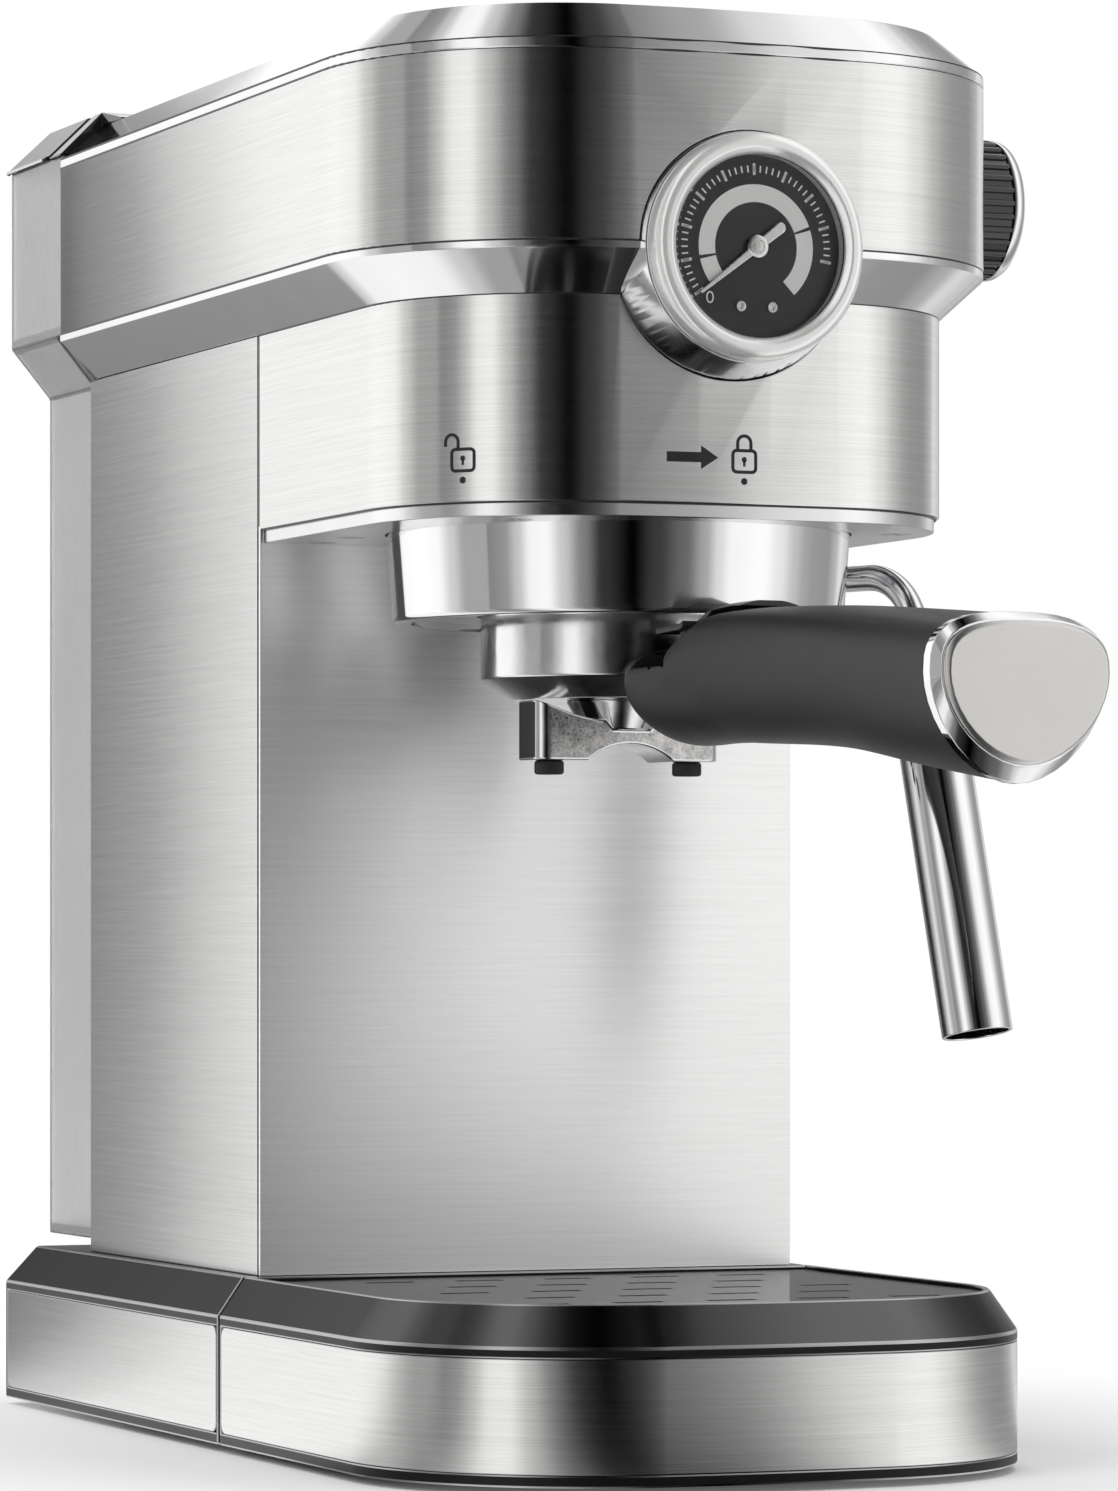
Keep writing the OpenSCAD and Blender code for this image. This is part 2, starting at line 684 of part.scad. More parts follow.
basket_r = holder_bore - 0.3;
basket_t = 0.6;
z_basket = z_holder_top - basket_h;

module filter_basket() color("#c8c8c8") at_group() difference() {
  union() {
    translate([0, 0, z_basket]) cylinder(h = basket_h, r = basket_r, $fn = 96);
    translate([0, 0, z_holder_top]) cylinder(h = basket_lip_t, r = holder_r - 0.8, $fn = 96);
  }
  translate([0, 0, z_basket + basket_t]) cylinder(h = basket_h + 2, r = basket_r - basket_t, $fn = 96);
  for (ring = [1:4], k = [0:6 * ring - 1]) rotate([0, 0, 60 * k / ring])
    translate([5 * ring, 0, z_basket - 1]) cylinder(h = 3, r = 0.6, $fn = 13);
}

arch_r = 17.5;
arch_rise = 3.4;
saddle_dip = 6.6;              // depth of the saddle at the middle of the block
saddle_r = (pow(spout_len / 2, 2) + pow(saddle_dip, 2)) / (2 * saddle_dip);
outlet_x = 9.5;

hub_low_r = 8;
hub_top_r = 17;

module spout_hub() translate([0, 0, z_spout + arch_rise + 1])
  cylinder(h = z_spout_top - z_spout - arch_rise - 1, r1 = hub_low_r, r2 = hub_top_r, $fn = 96);

module spout_casting() color("#c3c4c6") at_holder() difference() {
  union() {
    intersection() {
      translate([-spout_w / 2, -spout_len / 2, z_spout]) cube([spout_w, spout_len, spout_h]);
      // the ends' corners lie on one circle
      translate([0, 0, z_spout - 1]) cylinder(h = spout_h + 2, r = spout_len / 2 + 1.2, $fn = 96);
    }
    spout_hub();
  }
  // arch below, saddle above
  translate([0, 0, z_spout + arch_rise - arch_r]) rotate([0, 90, 0])
    translate([0, 0, -spout_len]) cylinder(h = 2 * spout_len, r = arch_r, $fn = 96);
  difference() {
    translate([0, 0, z_spout_top - saddle_dip + saddle_r]) rotate([0, 90, 0])
      translate([0, 0, -spout_len]) cylinder(h = 2 * spout_len, r = saddle_r, $fn = 128);
    spout_hub();
  }
  // coffee ways: one bore down, two outlets
  translate([0, 0, z_spout + 5.6]) cylinder(h = 20, r = 3.5);
  for (s = [-1, 1]) translate([0, s * outlet_x, z_spout - 1]) cylinder(h = 6, r = 2);
  translate([0, -outlet_x, z_spout + 5.6]) rotate([-90, 0, 0]) cylinder(h = 2 * outlet_x, r = 1.5);
}

foot_x = spout_len / 2 - 5.4;
spout_foot_h = 3;

module spout_feet() color("#161616") at_holder() {
  for (s = [-1, 1]) translate([0, s * foot_x, z_spout - spout_foot_h])
    cylinder(h = spout_foot_h, r = 3.2, $fn = 48);
}

ring_t = 5.5;
cap_t = 1.5;
z_bolt = z_neck;
bolt_r = 2.4;
handle_start = holder_r + 3.2;
handle_end = handle_len - ring_t - cap_t;
handle_low_end = z_collar - 38.3;  // height of the ring's lowest point
handle_top_end = z_collar - 5.1;   // height of the ring's top

section_sides = 40;
waist = 0.36;                  // share of the height, from the top, where a section is widest

// Outline of a handle section, flatter above than below: half width w, from low to top
function section_pts(w, low, top) = let(h = top - low) [for (k = [0:section_sides - 1]) let(
    a = 360 * k / section_sides, c = cos(a), s = sin(a), n = s > 0 ? 2.8 : 1.8)
  [w * sign(c) * pow(abs(c), 2 / n),
    top - waist * h + (s > 0 ? waist : 1 - waist) * h * sign(s) * pow(abs(s), 2 / n)]];

// Stations of the handle: [distance from the brew axis, half width, underside, top], both below the collar
handle_stations = [
  [handle_start, 13, 23.8, 10.4],
  [handle_start + 1.4, 16.7, 26.3, 7.9],
  [handle_start + 5, 18.1, 27.4, 7],
  [50, 17.7, 27.3, 5.4],
  [56, 17.4, 27.3, 2.2],
  [62, 17.1, 27.5, 0.1],
  [100, 17.1, 29.6, 0.8],
  [132, 18.6, 34.2, 3],
  [handle_end, 19.8, 38, 5.4]];

// Body through all the stations
module handle_body() let(
    n = section_sides,
    last = len(handle_stations) - 1,
    pts = [for (p = handle_stations, q = section_pts(p[1], z_collar - p[2], z_collar - p[3]))
      [p[0], q[0], q[1]]],
    walls = [for (i = [0:last - 1], k = [0:n - 1]) let(m = (k + 1) % n, a = i * n, b = a + n)
      each [[a + k, b + k, b + m], [a + k, b + m, a + m]]])
  polyhedron(pts, concat([[for (k = [0:n - 1]) k]], walls, [[for (k = [n - 1:-1:0]) last * n + k]]),
    convexity = 6);

pocket_s0 = handle_start + 6;    // front of the clip's pocket, from the brew axis
pocket_s1 = 52;
rib_half = 6.3;                // half width of the rib that holds the clip's pin
pin_s = 47.5;
z_pin = z_collar - 7.2;
pin_r = 1.2;
z_pocket = z_collar - 11.4;

module portafilter_handle() color("#2c2d2f") at_holder() difference() {
  handle_body();
  translate([0, 0, z_spout]) cylinder(h = 60, r = holder_r + 0.2, $fn = 96);
  translate([0, 0, z_neck]) rotate([0, 90, 0]) cylinder(h = neck_end + 0.5, r = neck_r + 0.1);
  translate([0, 0, z_bolt]) rotate([0, 90, 0]) cylinder(h = handle_len, r = bolt_r + shaft_gap);
  translate([handle_end - 10, 0, z_bolt]) rotate([0, 90, 0]) cylinder(h = 20, r = 5);
  // pocket of the basket clip, open on both sides of the rib
  for (s = [-1, 1]) translate([pocket_s0, s * (rib_half + 10) - 10, z_pocket])
    cube([pocket_s1 - pocket_s0, 20, 20]);
  translate([pocket_s0, -20, z_pin - 1]) cube([pin_s - 2.4 - pocket_s0, 40, 20]);
  translate([pocket_s0, -20, z_pin + 1.9]) cube([pocket_s1 - pocket_s0, 40, 20]);
  translate([pin_s, -20, z_pin]) rotate([-90, 0, 0]) cylinder(h = 40, r = pin_r + shaft_gap);
}

module handle_end_plate(w, low, top, t)
  rotate([90, 0, 90]) linear_extrude(t) polygon(section_pts(w, low, top));

ring_line_t = 2.5;             // upright part of the ring, in front of its bevel
bevel_in = 1;

module handle_ring() color("#a9aaac") at_holder() difference() {
  translate([handle_end + gap, 0, 0]) hull() {
    handle_end_plate(handle_half, handle_low_end, handle_top_end, ring_line_t);
    translate([ring_t - gap - eps, 0, 0]) handle_end_plate(handle_half - bevel_in,
      handle_low_end + 3 * bevel_in, handle_top_end - 1.4 * bevel_in, eps);
  }
  translate([handle_end, 0, z_bolt]) rotate([0, 90, 0]) cylinder(h = 20, r = 5.4);
}

module handle_cap() color("#c9c8c5") at_holder() hull() {
  translate([handle_end + ring_t, 0, 0]) handle_end_plate(handle_half - bevel_in - 0.4,
    handle_low_end + 3.4 * bevel_in, handle_top_end - 1.8 * bevel_in, 0.7);
  translate([handle_end + ring_t + 0.7, 0, 0]) handle_end_plate(handle_half - bevel_in - 1.2,
    handle_low_end + 4.2 * bevel_in, handle_top_end - 2.6 * bevel_in, cap_t - 0.7);
}

bolt_s0 = neck_end - 20;
bolt_s1 = handle_end - 6;
bolt_nut_s = handle_end - 9.8;

module handle_bolt() color("#9b9b9b") at_holder() {
  translate([bolt_s0, 0, z_bolt]) rotate([0, 90, 0]) cylinder(h = bolt_s1 - bolt_s0, r = bolt_r);
  translate([bolt_nut_s, 0, z_bolt]) rotate([0, 90, 0]) difference() {
    cylinder(h = 5, r = 4.6);
    translate([0, 0, 2]) cylinder(h = 5, r = 2.2, $fn = 6);
  }
}

clip_half = 12.5;
lug_w = 3;
strap_t = 1.3;
clip_s0 = pocket_s0 + 0.8;
tab_s0 = 51;
tab_s1 = 67;
tab_half = 9;
tab_arch = 20;                 // radius of the thumb tab's arched top

// Side view of the clip's strap and thumb tab: [distance from the brew axis, height above its pin]
strap_line = [[clip_s0, 4.3], [50, 4.8], [54, 6.4], [58, 8.6], [63, 9.3], [tab_s1, 9.1]];
strap_side = concat(strap_line, [for (i = [len(strap_line) - 1:-1:0]) strap_line[i] - [0, strap_t]]);

module basket_clip() color("#1a1a1b") at_holder() {
  intersection() {
    translate([0, clip_half, z_pin]) rotate([90, 0, 0]) linear_extrude(2 * clip_half) polygon(strap_side);
    union() {
      translate([clip_s0 - 1, -clip_half, z_pin]) cube([tab_s0 + 1.5 - clip_s0, 2 * clip_half, 20]);
      intersection() {
        translate([tab_s0, -tab_half, z_pin]) cube([tab_s1, 2 * tab_half, 20]);
        translate([tab_s0 - 1, 0, z_pin + strap_line[4][1] - tab_arch]) rotate([0, 90, 0])
          cylinder(h = 30, r = tab_arch, $fn = 128);
      }
    }
  }
  for (s = [-1, 1]) translate([0, s * (rib_half + gap + lug_w / 2) + lug_w / 2, z_pin]) rotate([90, 0, 0]) {
    translate([pin_s, 0, 0]) cylinder(h = lug_w, r = 2.4, $fn = 48);
    translate([pin_s - 2.4, 0, 0]) cube([4.8, 3.6, lug_w]);
  }
  translate([pin_s, -rib_half - gap - lug_w - 1.5, z_pin]) rotate([-90, 0, 0])
    cylinder(h = 2 * (rib_half + gap + lug_w + 1.5), r = pin_r, $fn = 32);
}

// ---------------------------------------------------------------- steam knob and wand
knob_gap = 0.5;
x_knob = half_w + knob_gap;

module at_knob() translate([0, knob_y, z_knob]) rotate([0, 90, 0]) children();

module steam_knob() color("#202022") at_knob() translate([0, 0, x_knob]) difference() {
  cylinder(h = knob_len, r = knob_r, $fn = 96);
  for (i = [0:knob_ribs - 1]) rotate([0, 0, 360 * i / knob_ribs])
    translate([knob_r + 0.2, 0, -1]) cylinder(h = knob_len + 2, r = 0.9, $fn = 16);
  translate([0, 0, -1]) cylinder(h = 9, r = spindle_r);
}

module knob_cap() color("#b9babc") at_knob() translate([0, 0, x_knob + knob_len]) rotate_extrude($fn = 96)
  polygon([[0, 0], [knob_r - 0.3, 0], [knob_r - 0.1, 0.6], [knob_r - 0.3, 1.6], [knob_r - 0.9, 2.5],
    [knob_r - 1.8, 3.1], [knob_r - 3, 3.5], [0, 3.7]]);

module valve_spindle() color("#c2a05a") at_knob() translate([0, 0, valve_x0 + 9])
  cylinder(h = x_knob + 8 - valve_x0 - 9, r = spindle_r);

pipe_az = -71;                 // direction of the wand's arm from its swivel
z_arm = z_under - 11.2;        // centre line of the level stretch
bend_r = 9;
drop_bend_r = 14.5;
arm_len = 25.6;                  // from the swivel's axis to the second bend
turn = 90 - wand_lean;         // angle of the second bend

// Local frame of the wand: swivel's axis at the origin, arm along +X
module at_wand() translate([wand_x, wand_y, 0]) rotate([0, 0, pipe_az]) children();

// End of the second bend, in the wand's frame
drop_x = arm_len + drop_bend_r * sin(turn);
drop_z = z_arm - drop_bend_r * (1 - cos(turn));
sleeve_drop = 5;               // pipe that shows above the sleeve

module along_drop(d)
  translate([drop_x, 0, drop_z]) rotate([0, 180 - wand_lean, 0]) translate([0, 0, d]) children();

bend_grow = 0.04;              // the bends are this much fuller than the straight stretches
lap = 0.3;                     // overlap of a straight stretch with a bend

// Bend in the XZ plane round [x, z], from angle a on, through span degrees
module pipe_bend(x, z, r, a, span) translate([x, 0, z]) rotate([90, 0, 0]) rotate([0, 0, a])
  rotate_extrude(angle = span, $fn = 96) translate([r, 0]) circle(r = pipe_r + bend_grow, $fn = 48);

module steam_pipe() color("#bfc0c2") at_wand() {
  translate([0, 0, z_arm + bend_r - lap]) cylinder(h = z_nut + 9 - z_arm - bend_r + lap, r = pipe_r);
  pipe_bend(bend_r, z_arm + bend_r, bend_r, 180, 90);
  translate([bend_r - lap, 0, z_arm]) rotate([0, 90, 0]) cylinder(h = arm_len - bend_r + 2 * lap, r = pipe_r);
  pipe_bend(arm_len, z_arm - drop_bend_r, drop_bend_r, 90 - turn, turn);
  along_drop(-lap) cylinder(h = lap + sleeve_drop + sleeve_len - 16, r = pipe_r);
  along_drop(sleeve_drop + sleeve_len - 18) cylinder(h = 9, r = pipe_r + 1.2);
}

sleeve_t = 0.9;

module wand_sleeve() color("#c9cacb") at_wand() along_drop(sleeve_drop) difference() {
  cylinder(h = sleeve_len, r = sleeve_r);
  translate([0, 0, 12]) cylinder(h = sleeve_len, r = sleeve_r - sleeve_t);
  translate([0, 0, -1]) cylinder(h = sleeve_len, r = pipe_r + shaft_gap);
}

// ---------------------------------------------------------------- gauge
y_bezel = -head_front - bezel_reach;   // front face of the bezel
y_dial = y_bezel + 4;
dial_t = 0.8;
cowling_t = 1.6;
needle_t = 0.4;
y_needle = y_dial - 0.8;

module gauge_cowling() color("#a9aaac") difference() {
  cowling_body(0, 0);
  at_gauge(cowling_back + 2) cylinder(h = 60, r = cowling_r - cowling_t, $fn = 96);
}

// Bezel: [radius, distance in front of the cowling]
bezel_depth = cowling_front - y_bezel;
bezel_profile = [[0, 0], [bezel_r - 0.5, 0], [bezel_r, 0.5], [bezel_r, bezel_depth - 2.6],
  [bezel_r - 0.3, bezel_depth - 1.4], [bezel_r - 1, bezel_depth - 0.5], [bezel_r - 2.1, bezel_depth],
  [0, bezel_depth]];

module gauge_bezel() color("#c6c5c2") difference() {
  union() {
    at_gauge(cowling_front) rotate_extrude($fn = 96) polygon(bezel_profile);
    at_gauge(cowling_front + 8) cylinder(h = 8 + 1, r = cowling_r - cowling_t - 0.05, $fn = 96);
  }
  at_gauge(y_dial + dial_t) cylinder(h = 40, r = dial_r, $fn = 96);
  at_gauge(y_bezel + 1.6) cylinder(h = 1.6 + eps, r1 = dial_r, r2 = dial_r + 1.4, $fn = 96);
  at_gauge(cowling_back) cylinder(h = cowling_back - y_bezel - 1, r = dial_r - 2, $fn = 96);
}

module gauge_dial() color("#141415") difference() {
  at_gauge(y_dial + dial_t) cylinder(h = dial_t, r = dial_r - 0.05, $fn = 96);
  at_gauge(y_dial + 2) cylinder(h = 10, r = 1.1, $fn = 24);
  for (s = [-1, 1]) translate([0, y_dial, z_gauge]) rotate([-90, 0, 0]) rotate([0, 0, s * dial_screw_a])
    translate([0, dial_screw_r, -1]) cylinder(h = 5, r = 0.36 * screw_r + 0.03, $fn = 16);
}

lens_t = 0.9;

module gauge_lens() color([0.9, 0.95, 1, 0.25])
  at_gauge(y_bezel + 2.0) cylinder(h = lens_t, r = dial_r - 0.05, $fn = 96);

needle_rest = 128;             // resting angle of the needle, back from straight up
needle_len = 0.85 * dial_r;
needle_tail = 0.4 * dial_r;

module gauge_needle() color("#d8d8d6") translate([0, y_needle, z_gauge]) rotate([0, -needle_rest, 0]) {
  rotate([90, 0, 0]) linear_extrude(needle_t)
    polygon([[-1.2, -needle_tail], [1.2, -needle_tail], [0.35, needle_len], [-0.35, needle_len]]);
  rotate([90, 0, 0]) cylinder(h = needle_t + 0.3, r = 2.4, $fn = 32);
  translate([0, 3, 0]) rotate([90, 0, 0]) cylinder(h = 3, r = 1.1 - shaft_gap, $fn = 24);
}

// ---------------------------------------------------------------- drip tray
y_tray = -y_split;
z_floor = z0 + tongue_h + gap;
floor_t = 2;
skirt_in = wall_t;
well_in = shoulder_in + 4.2;
lip_in = shoulder_in + 1.2;
grid_t = 1.2;
ledge_drop = grid_t + 1;

module drip_tray() color("#17181a") difference() {
  union() {
    nose_slab(0, base_front, y_tray, z0, z_shoulder - z0);
    slant_solid(0, shoulder_in, base_front, y_tray, z_shoulder - eps, shoulder_h + eps);
  }
  nose_slab(skirt_in, base_front, 1, z0 - 1, z_floor - z0 + 1);
  difference() {
    nose_slab(skirt_in, base_front, y_tray - wall_t, z_floor - eps, z_shoulder - z_floor - wall_t);
    nose_slab(well_in - wall_t, base_front, 1, z0, base_h);
  }
  nose_slab(well_in, base_front, y_tray - wall_t - 3, z_floor + floor_t, base_h);
  nose_slab(lip_in, base_front, y_tray - wall_t, z_rim - ledge_drop, base_h);
  difference() {
    nose_slab(-1, base_front, y_tray - 1, z0 + inlay_z, inlay_h);
    nose_slab(inlay_t, base_front, 1, z0, base_h);
  }
}

module tray_front_panel() color("#c9c9c7") difference() {
  nose_slab(0, base_front, y_tray - 1 - panel_gap, z0 + inlay_z, inlay_h);
  nose_slab(inlay_t, base_front, 1, z0, base_h);
}

slot_len = 11;
slot_w = 3;

module drip_grid() color("#5b5c5f") difference() {
  nose_slab(lip_in + gap, base_front, y_tray - wall_t - gap, z_rim - ledge_drop + gap, grid_t);
  for (row = [-2:2], k = [-2:2]) let(x = (k + (row % 2 == 0 ? 0 : 0.5)) * 21, y = -66 + row * 22)
    if (abs(x) < 46) translate([x - slot_len / 2, y - slot_w / 2, z_rim - 5]) cube([slot_len, slot_w, 8]);
}

// ---------------------------------------------------------------- tank
tank_y0 = column_back + gap;
tank_up_y0 = head_back + gap;
tank_y1 = base_back - tank_back_in;
tank_half = col_half - 1.2;
tank_up_half = half_w - 1;
tank_corner = 2.6;
z_tank = z_rim + tank_gap;
z_tank_top = z_slant + 1.4;

module tank_outer(inset) {
  back_slab(tank_half - inset, tank_y0 + inset, tank_y1 - inset, tank_corner - inset,
    z_tank + inset, z_band - 1.5 - z_tank - inset);
  hull() {
    back_slab(tank_half - inset, tank_y0 + inset, tank_y1 - inset, tank_corner - inset,
      z_band - 1.5 - eps, eps);
    back_slab(tank_up_half - inset, tank_y0 + inset, tank_y1 - inset, tank_corner - inset,
      z_upper - eps, eps);
  }
  back_slab(tank_up_half - inset, tank_up_y0 + inset, tank_y1 - inset, tank_corner - inset,
    z_upper - eps + inset, z_tank_top - z_upper - inset + (inset > 0 ? 1 : 0));
}

module water_tank() color([0.75, 0.77, 0.8, 0.5]) difference() {
  tank_outer(0);
  tank_outer(tank_t);
  translate([0, seat_y, z_tank - 1]) cylinder(h = 10, r = valve_bore);
}

valve_bore = 6;

module tank_valve() color("#d5d5d5") translate([0, seat_y, 0]) {
  translate([0, 0, z_tank - 1.6]) cylinder(h = 1.6 + tank_t, r = valve_bore - 0.05);
  translate([0, 0, z_tank + tank_t]) cylinder(h = 2, r = 9);
  translate([0, 0, z_tank + tank_t + 2]) cylinder(h = 20, r = 5);
}

module tank_seat() color("#2c2d2f") translate([0, seat_y, 0]) difference() {
  union() {
    translate([0, 0, z_rim]) cylinder(h = tank_gap - gap, r = seat_r + 5);
    translate([0, 0, z_rim - roof_t - 1]) cylinder(h = roof_t + 1 + eps, r = seat_r - 0.05);
  }
  translate([0, 0, z_rim - 1]) cylinder(h = 20, r = valve_bore + 0.6);
}

// Lid: a black frame at the front that stays on the tank, and a clear flap that opens
lid_slope = top_slant_in;      // the lid's sides lean in as the top trim does
z_lid_top = z_tank_top + lid_slope;
flap_y = tank_up_y0 + 10;
hinge_y = flap_y + 3.2;
hinge_r = 2.4;
z_hinge = z_lid_top - hinge_r - 1;
groove_r = 4.9;                // room in the frame for the flap's front edge as it turns
ear_x = 40;
ear_w = 8;
lid_t = 1.8;
lid_back_in = 2;

module lid_solid(inset, y0, y1, lift) hull() {
  back_slab(half_w - inset, y0, y1, tank_corner, z_tank_top + lift, eps);
  back_slab(half_w - lid_slope - inset, y0, y1 - lid_back_in, tank_corner, z_lid_top - inset - eps, eps);
}

module hinge_bar(r, len) for (s = [-1, 1])
  translate([s * ear_x - len / 2, hinge_y, z_hinge]) rotate([0, 90, 0]) cylinder(h = len, r = r);

module lid_frame() color("#1d1d1f") difference() {
  union() {
    difference() {
      union() {
        lid_solid(0, tank_up_y0, flap_y, 0);
        // tapering tongue over the head's back edge
        hull() {
          block(body_w - 2 * lid_slope, tank_up_y0, tank_up_y0 + 5, z_top + gap, z_lid_top - z_top - gap);
          block(body_w - 2 * lid_slope - 2, head_back - lid_lap, head_back, z_top + gap, 0.6);
        }
      }
      difference() {
        lid_solid(lid_t, tank_up_y0 + lid_t, flap_y + 1, -1);
        block(body_w, flap_y - 5, flap_y + 10, z_tank_top - 2, 20);
      }
      translate([-half_w, hinge_y, z_hinge]) rotate([0, 90, 0]) cylinder(h = body_w, r = groove_r);
    }
    // ears of the hinge
    for (s = [-1, 1]) translate([s * ear_x - ear_w / 2, flap_y - 4, z_hinge - hinge_r])
      cube([ear_w, hinge_y - flap_y + 4, 2 * hinge_r]);
    hinge_bar(hinge_r, ear_w);
  }
  hinge_bar(1 + shaft_gap, ear_w + 2);
}

module tank_lid() color([0.35, 0.36, 0.38, 0.8]) difference() {
  union() {
    difference() {
      lid_solid(0, flap_y + gap, tank_y1 + 1, gap);
      lid_solid(lid_t, flap_y - 5, tank_y1 + 1 - lid_t, -1);
    }
    // hinge pins, each held by webs on the flap's underside
    hinge_bar(1, ear_w + 5);
    for (s = [-1, 1], t = [-1, 1])
      translate([s * ear_x + t * (ear_w / 2 + 1.8) - 1.2, hinge_y - 1.6, z_hinge - 1.4])
      cube([2.4, 3.2, z_lid_top - z_hinge]);
  }
  for (s = [-1, 1]) difference() {
    translate([s * ear_x - ear_w / 2 - 0.4, flap_y - 1, z_hinge - hinge_r - 4])
      cube([ear_w + 0.8, hinge_y - flap_y + hinge_r + 1.4, 2 * hinge_r + 6]);
    hinge_bar(1, ear_w + 5);
  }
  // front corners cut back, clear of the tank's rim as the flap turns
  block(body_w + 2, flap_y - 1, hinge_y + 0.2, z_tank_top - 1, 2);
}

base_housing();
base_side_panels();
bottom_plate();
cross_screws();
rubber_feet();
cord_gland();
column_shell();
column_front_panel();
column_frame();
head_lower_shell();
head_underside_plate();
head_band();
head_upper_shell();
head_back_panel();
head_top_trim();
cup_plate();
control_panel();
switch_board();
group_collar();
group_head();
group_gasket();
shower_screen();
shower_screw();
boiler();
thermostats();
steam_valve();
water_pump();
copper_tubes();
tank_seat();
swivel_nut();
gauge_cowling();
gauge_bezel();
gauge_dial();
gauge_lens();
gauge_needle();
power_button();
coffee_button();
steam_button();
portafilter_body();
filter_basket();
spout_casting();
spout_feet();
portafilter_handle();
handle_ring();
handle_cap();
handle_bolt();
basket_clip();
steam_knob();
knob_cap();
valve_spindle();
steam_pipe();
wand_sleeve();
drip_tray();
tray_front_panel();
drip_grid();
water_tank();
tank_valve();
lid_frame();
tank_lid();
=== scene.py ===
"""Looks of a pump espresso machine: every surface's finish, the fine detail and the studio."""
import json
import math
from functools import cache

import bmesh
import bpy
from bpy.props import FloatProperty, FloatVectorProperty, IntProperty, PointerProperty
from mathutils import Matrix, Vector
from mathutils.bvhtree import BVHTree

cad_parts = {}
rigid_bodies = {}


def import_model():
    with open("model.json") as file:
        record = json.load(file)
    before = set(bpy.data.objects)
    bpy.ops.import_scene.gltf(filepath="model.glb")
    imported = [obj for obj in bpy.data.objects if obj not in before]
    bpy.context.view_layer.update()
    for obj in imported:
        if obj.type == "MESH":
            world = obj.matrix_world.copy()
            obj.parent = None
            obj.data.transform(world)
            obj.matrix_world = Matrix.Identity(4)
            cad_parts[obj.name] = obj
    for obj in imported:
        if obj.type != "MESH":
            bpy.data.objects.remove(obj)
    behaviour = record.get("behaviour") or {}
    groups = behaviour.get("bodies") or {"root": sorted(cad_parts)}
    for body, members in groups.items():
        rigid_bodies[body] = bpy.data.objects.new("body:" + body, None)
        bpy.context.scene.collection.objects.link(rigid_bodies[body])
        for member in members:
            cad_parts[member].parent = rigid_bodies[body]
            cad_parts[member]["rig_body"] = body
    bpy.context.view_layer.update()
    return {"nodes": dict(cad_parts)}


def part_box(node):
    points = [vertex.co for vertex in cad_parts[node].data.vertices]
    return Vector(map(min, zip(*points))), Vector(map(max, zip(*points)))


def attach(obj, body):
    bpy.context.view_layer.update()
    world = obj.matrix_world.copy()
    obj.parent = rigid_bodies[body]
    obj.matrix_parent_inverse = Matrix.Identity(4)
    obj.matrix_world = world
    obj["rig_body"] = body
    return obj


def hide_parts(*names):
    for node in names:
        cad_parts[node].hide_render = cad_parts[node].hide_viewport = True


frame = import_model()

bl_info = {
    "name": "Espresso Machine Looks",
    "version": (1, 0, 0),
    "blender": (4, 5, 0),
    "location": "View3D > Sidebar > Espresso",
    "description": "Finishes, fine detail and a studio for a pump espresso machine",
    "category": "Object",
}

MM = 0.001
UP = Vector((0, 0, 1))
FRONT = Vector((0, -1, 0))


# ------------------------------------------------------------------ places, from the frame
def middle(node):
    low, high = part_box(node)
    return (low + high) / 2


def size(node):
    low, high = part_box(node)
    return high - low


def body_of(node):
    return frame["nodes"][node]["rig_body"]


GAUGE = Vector((0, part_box("gauge_bezel")[0].y, middle("gauge_bezel").z))
KNOB = middle("steam_knob")
BREW_AXIS = middle("boiler")
HANDLE_TURN = math.radians(5)          # handle's way out from straight ahead


# ------------------------------------------------------------------ settings
def length(name, text, value):
    return FloatProperty(name=name, description=text, default=value, min=0.0, max=1.0,
                         precision=5, subtype="DISTANCE", unit="LENGTH")


def number(name, text, value):
    return IntProperty(name=name, description=text, default=value, min=2)


def degrees(name, text, value):
    return FloatProperty(name=name, description=text, default=math.radians(value),
                         subtype="ANGLE", unit="ROTATION")


def shell_place(name, text, value):
    return FloatVectorProperty(name=name, description=text, size=len(value), default=value,
                               subtype="COORDINATES")


def colour(name, text, value):
    return FloatVectorProperty(name=name, description=text, default=value, size=3,
                               min=0.0, max=1.0, subtype="COLOR")


class EspressoSizes(bpy.types.PropertyGroup):
    """Sizes of the fine detail"""

    sheet_edge: length("Sheet edge", "Edges of sheets and of the tank's lid", 0.00035)
    moulded_edge: length("Moulded edge", "Edges of mouldings and castings", 0.0004)
    turned_edge: length("Turned edge", "Edges of turned pieces", 0.0003)
    handle_edge: length("Handle edge", "Edges of the handle's ring and cap", 0.00025)
    small_edge: length("Small edge", "Edges of small pieces", 0.0002)
    screw_edge: length("Screw edge", "Edges of the screws' crosses", 0.00008)
    feet_edge: length("Feet edge", "Edges of the twin spout's feet", 0.0006)
    casting_edge: length("Casting edge", "Edges of the twin spout", 0.0005)
    casting_corner: length("Casting corner", "Upright corners of the twin spout", 0.0031)
    inlay_corner: length("Inlay corner", "Corners of the base's steel inlays", 0.0024)
    print_thickness: length("Print thickness", "Thickness of printed marks", 0.00004)
    major_ticks: number("Long ticks", "Long ticks on the dial", 10)
    tick_step: degrees("Tick step", "Angle between long ticks", 25.1)
    first_tick: degrees("First tick", "Angle of the first tick from straight up", -127)
    needle_turn: degrees("Needle", "Angle of the needle from straight up", -128)
    knob_ribs: number("Knob ribs", "Ribs round the steam knob", 32)
    lock_width: length("Lock width", "Width of the lock marks on the head", 0.0052)


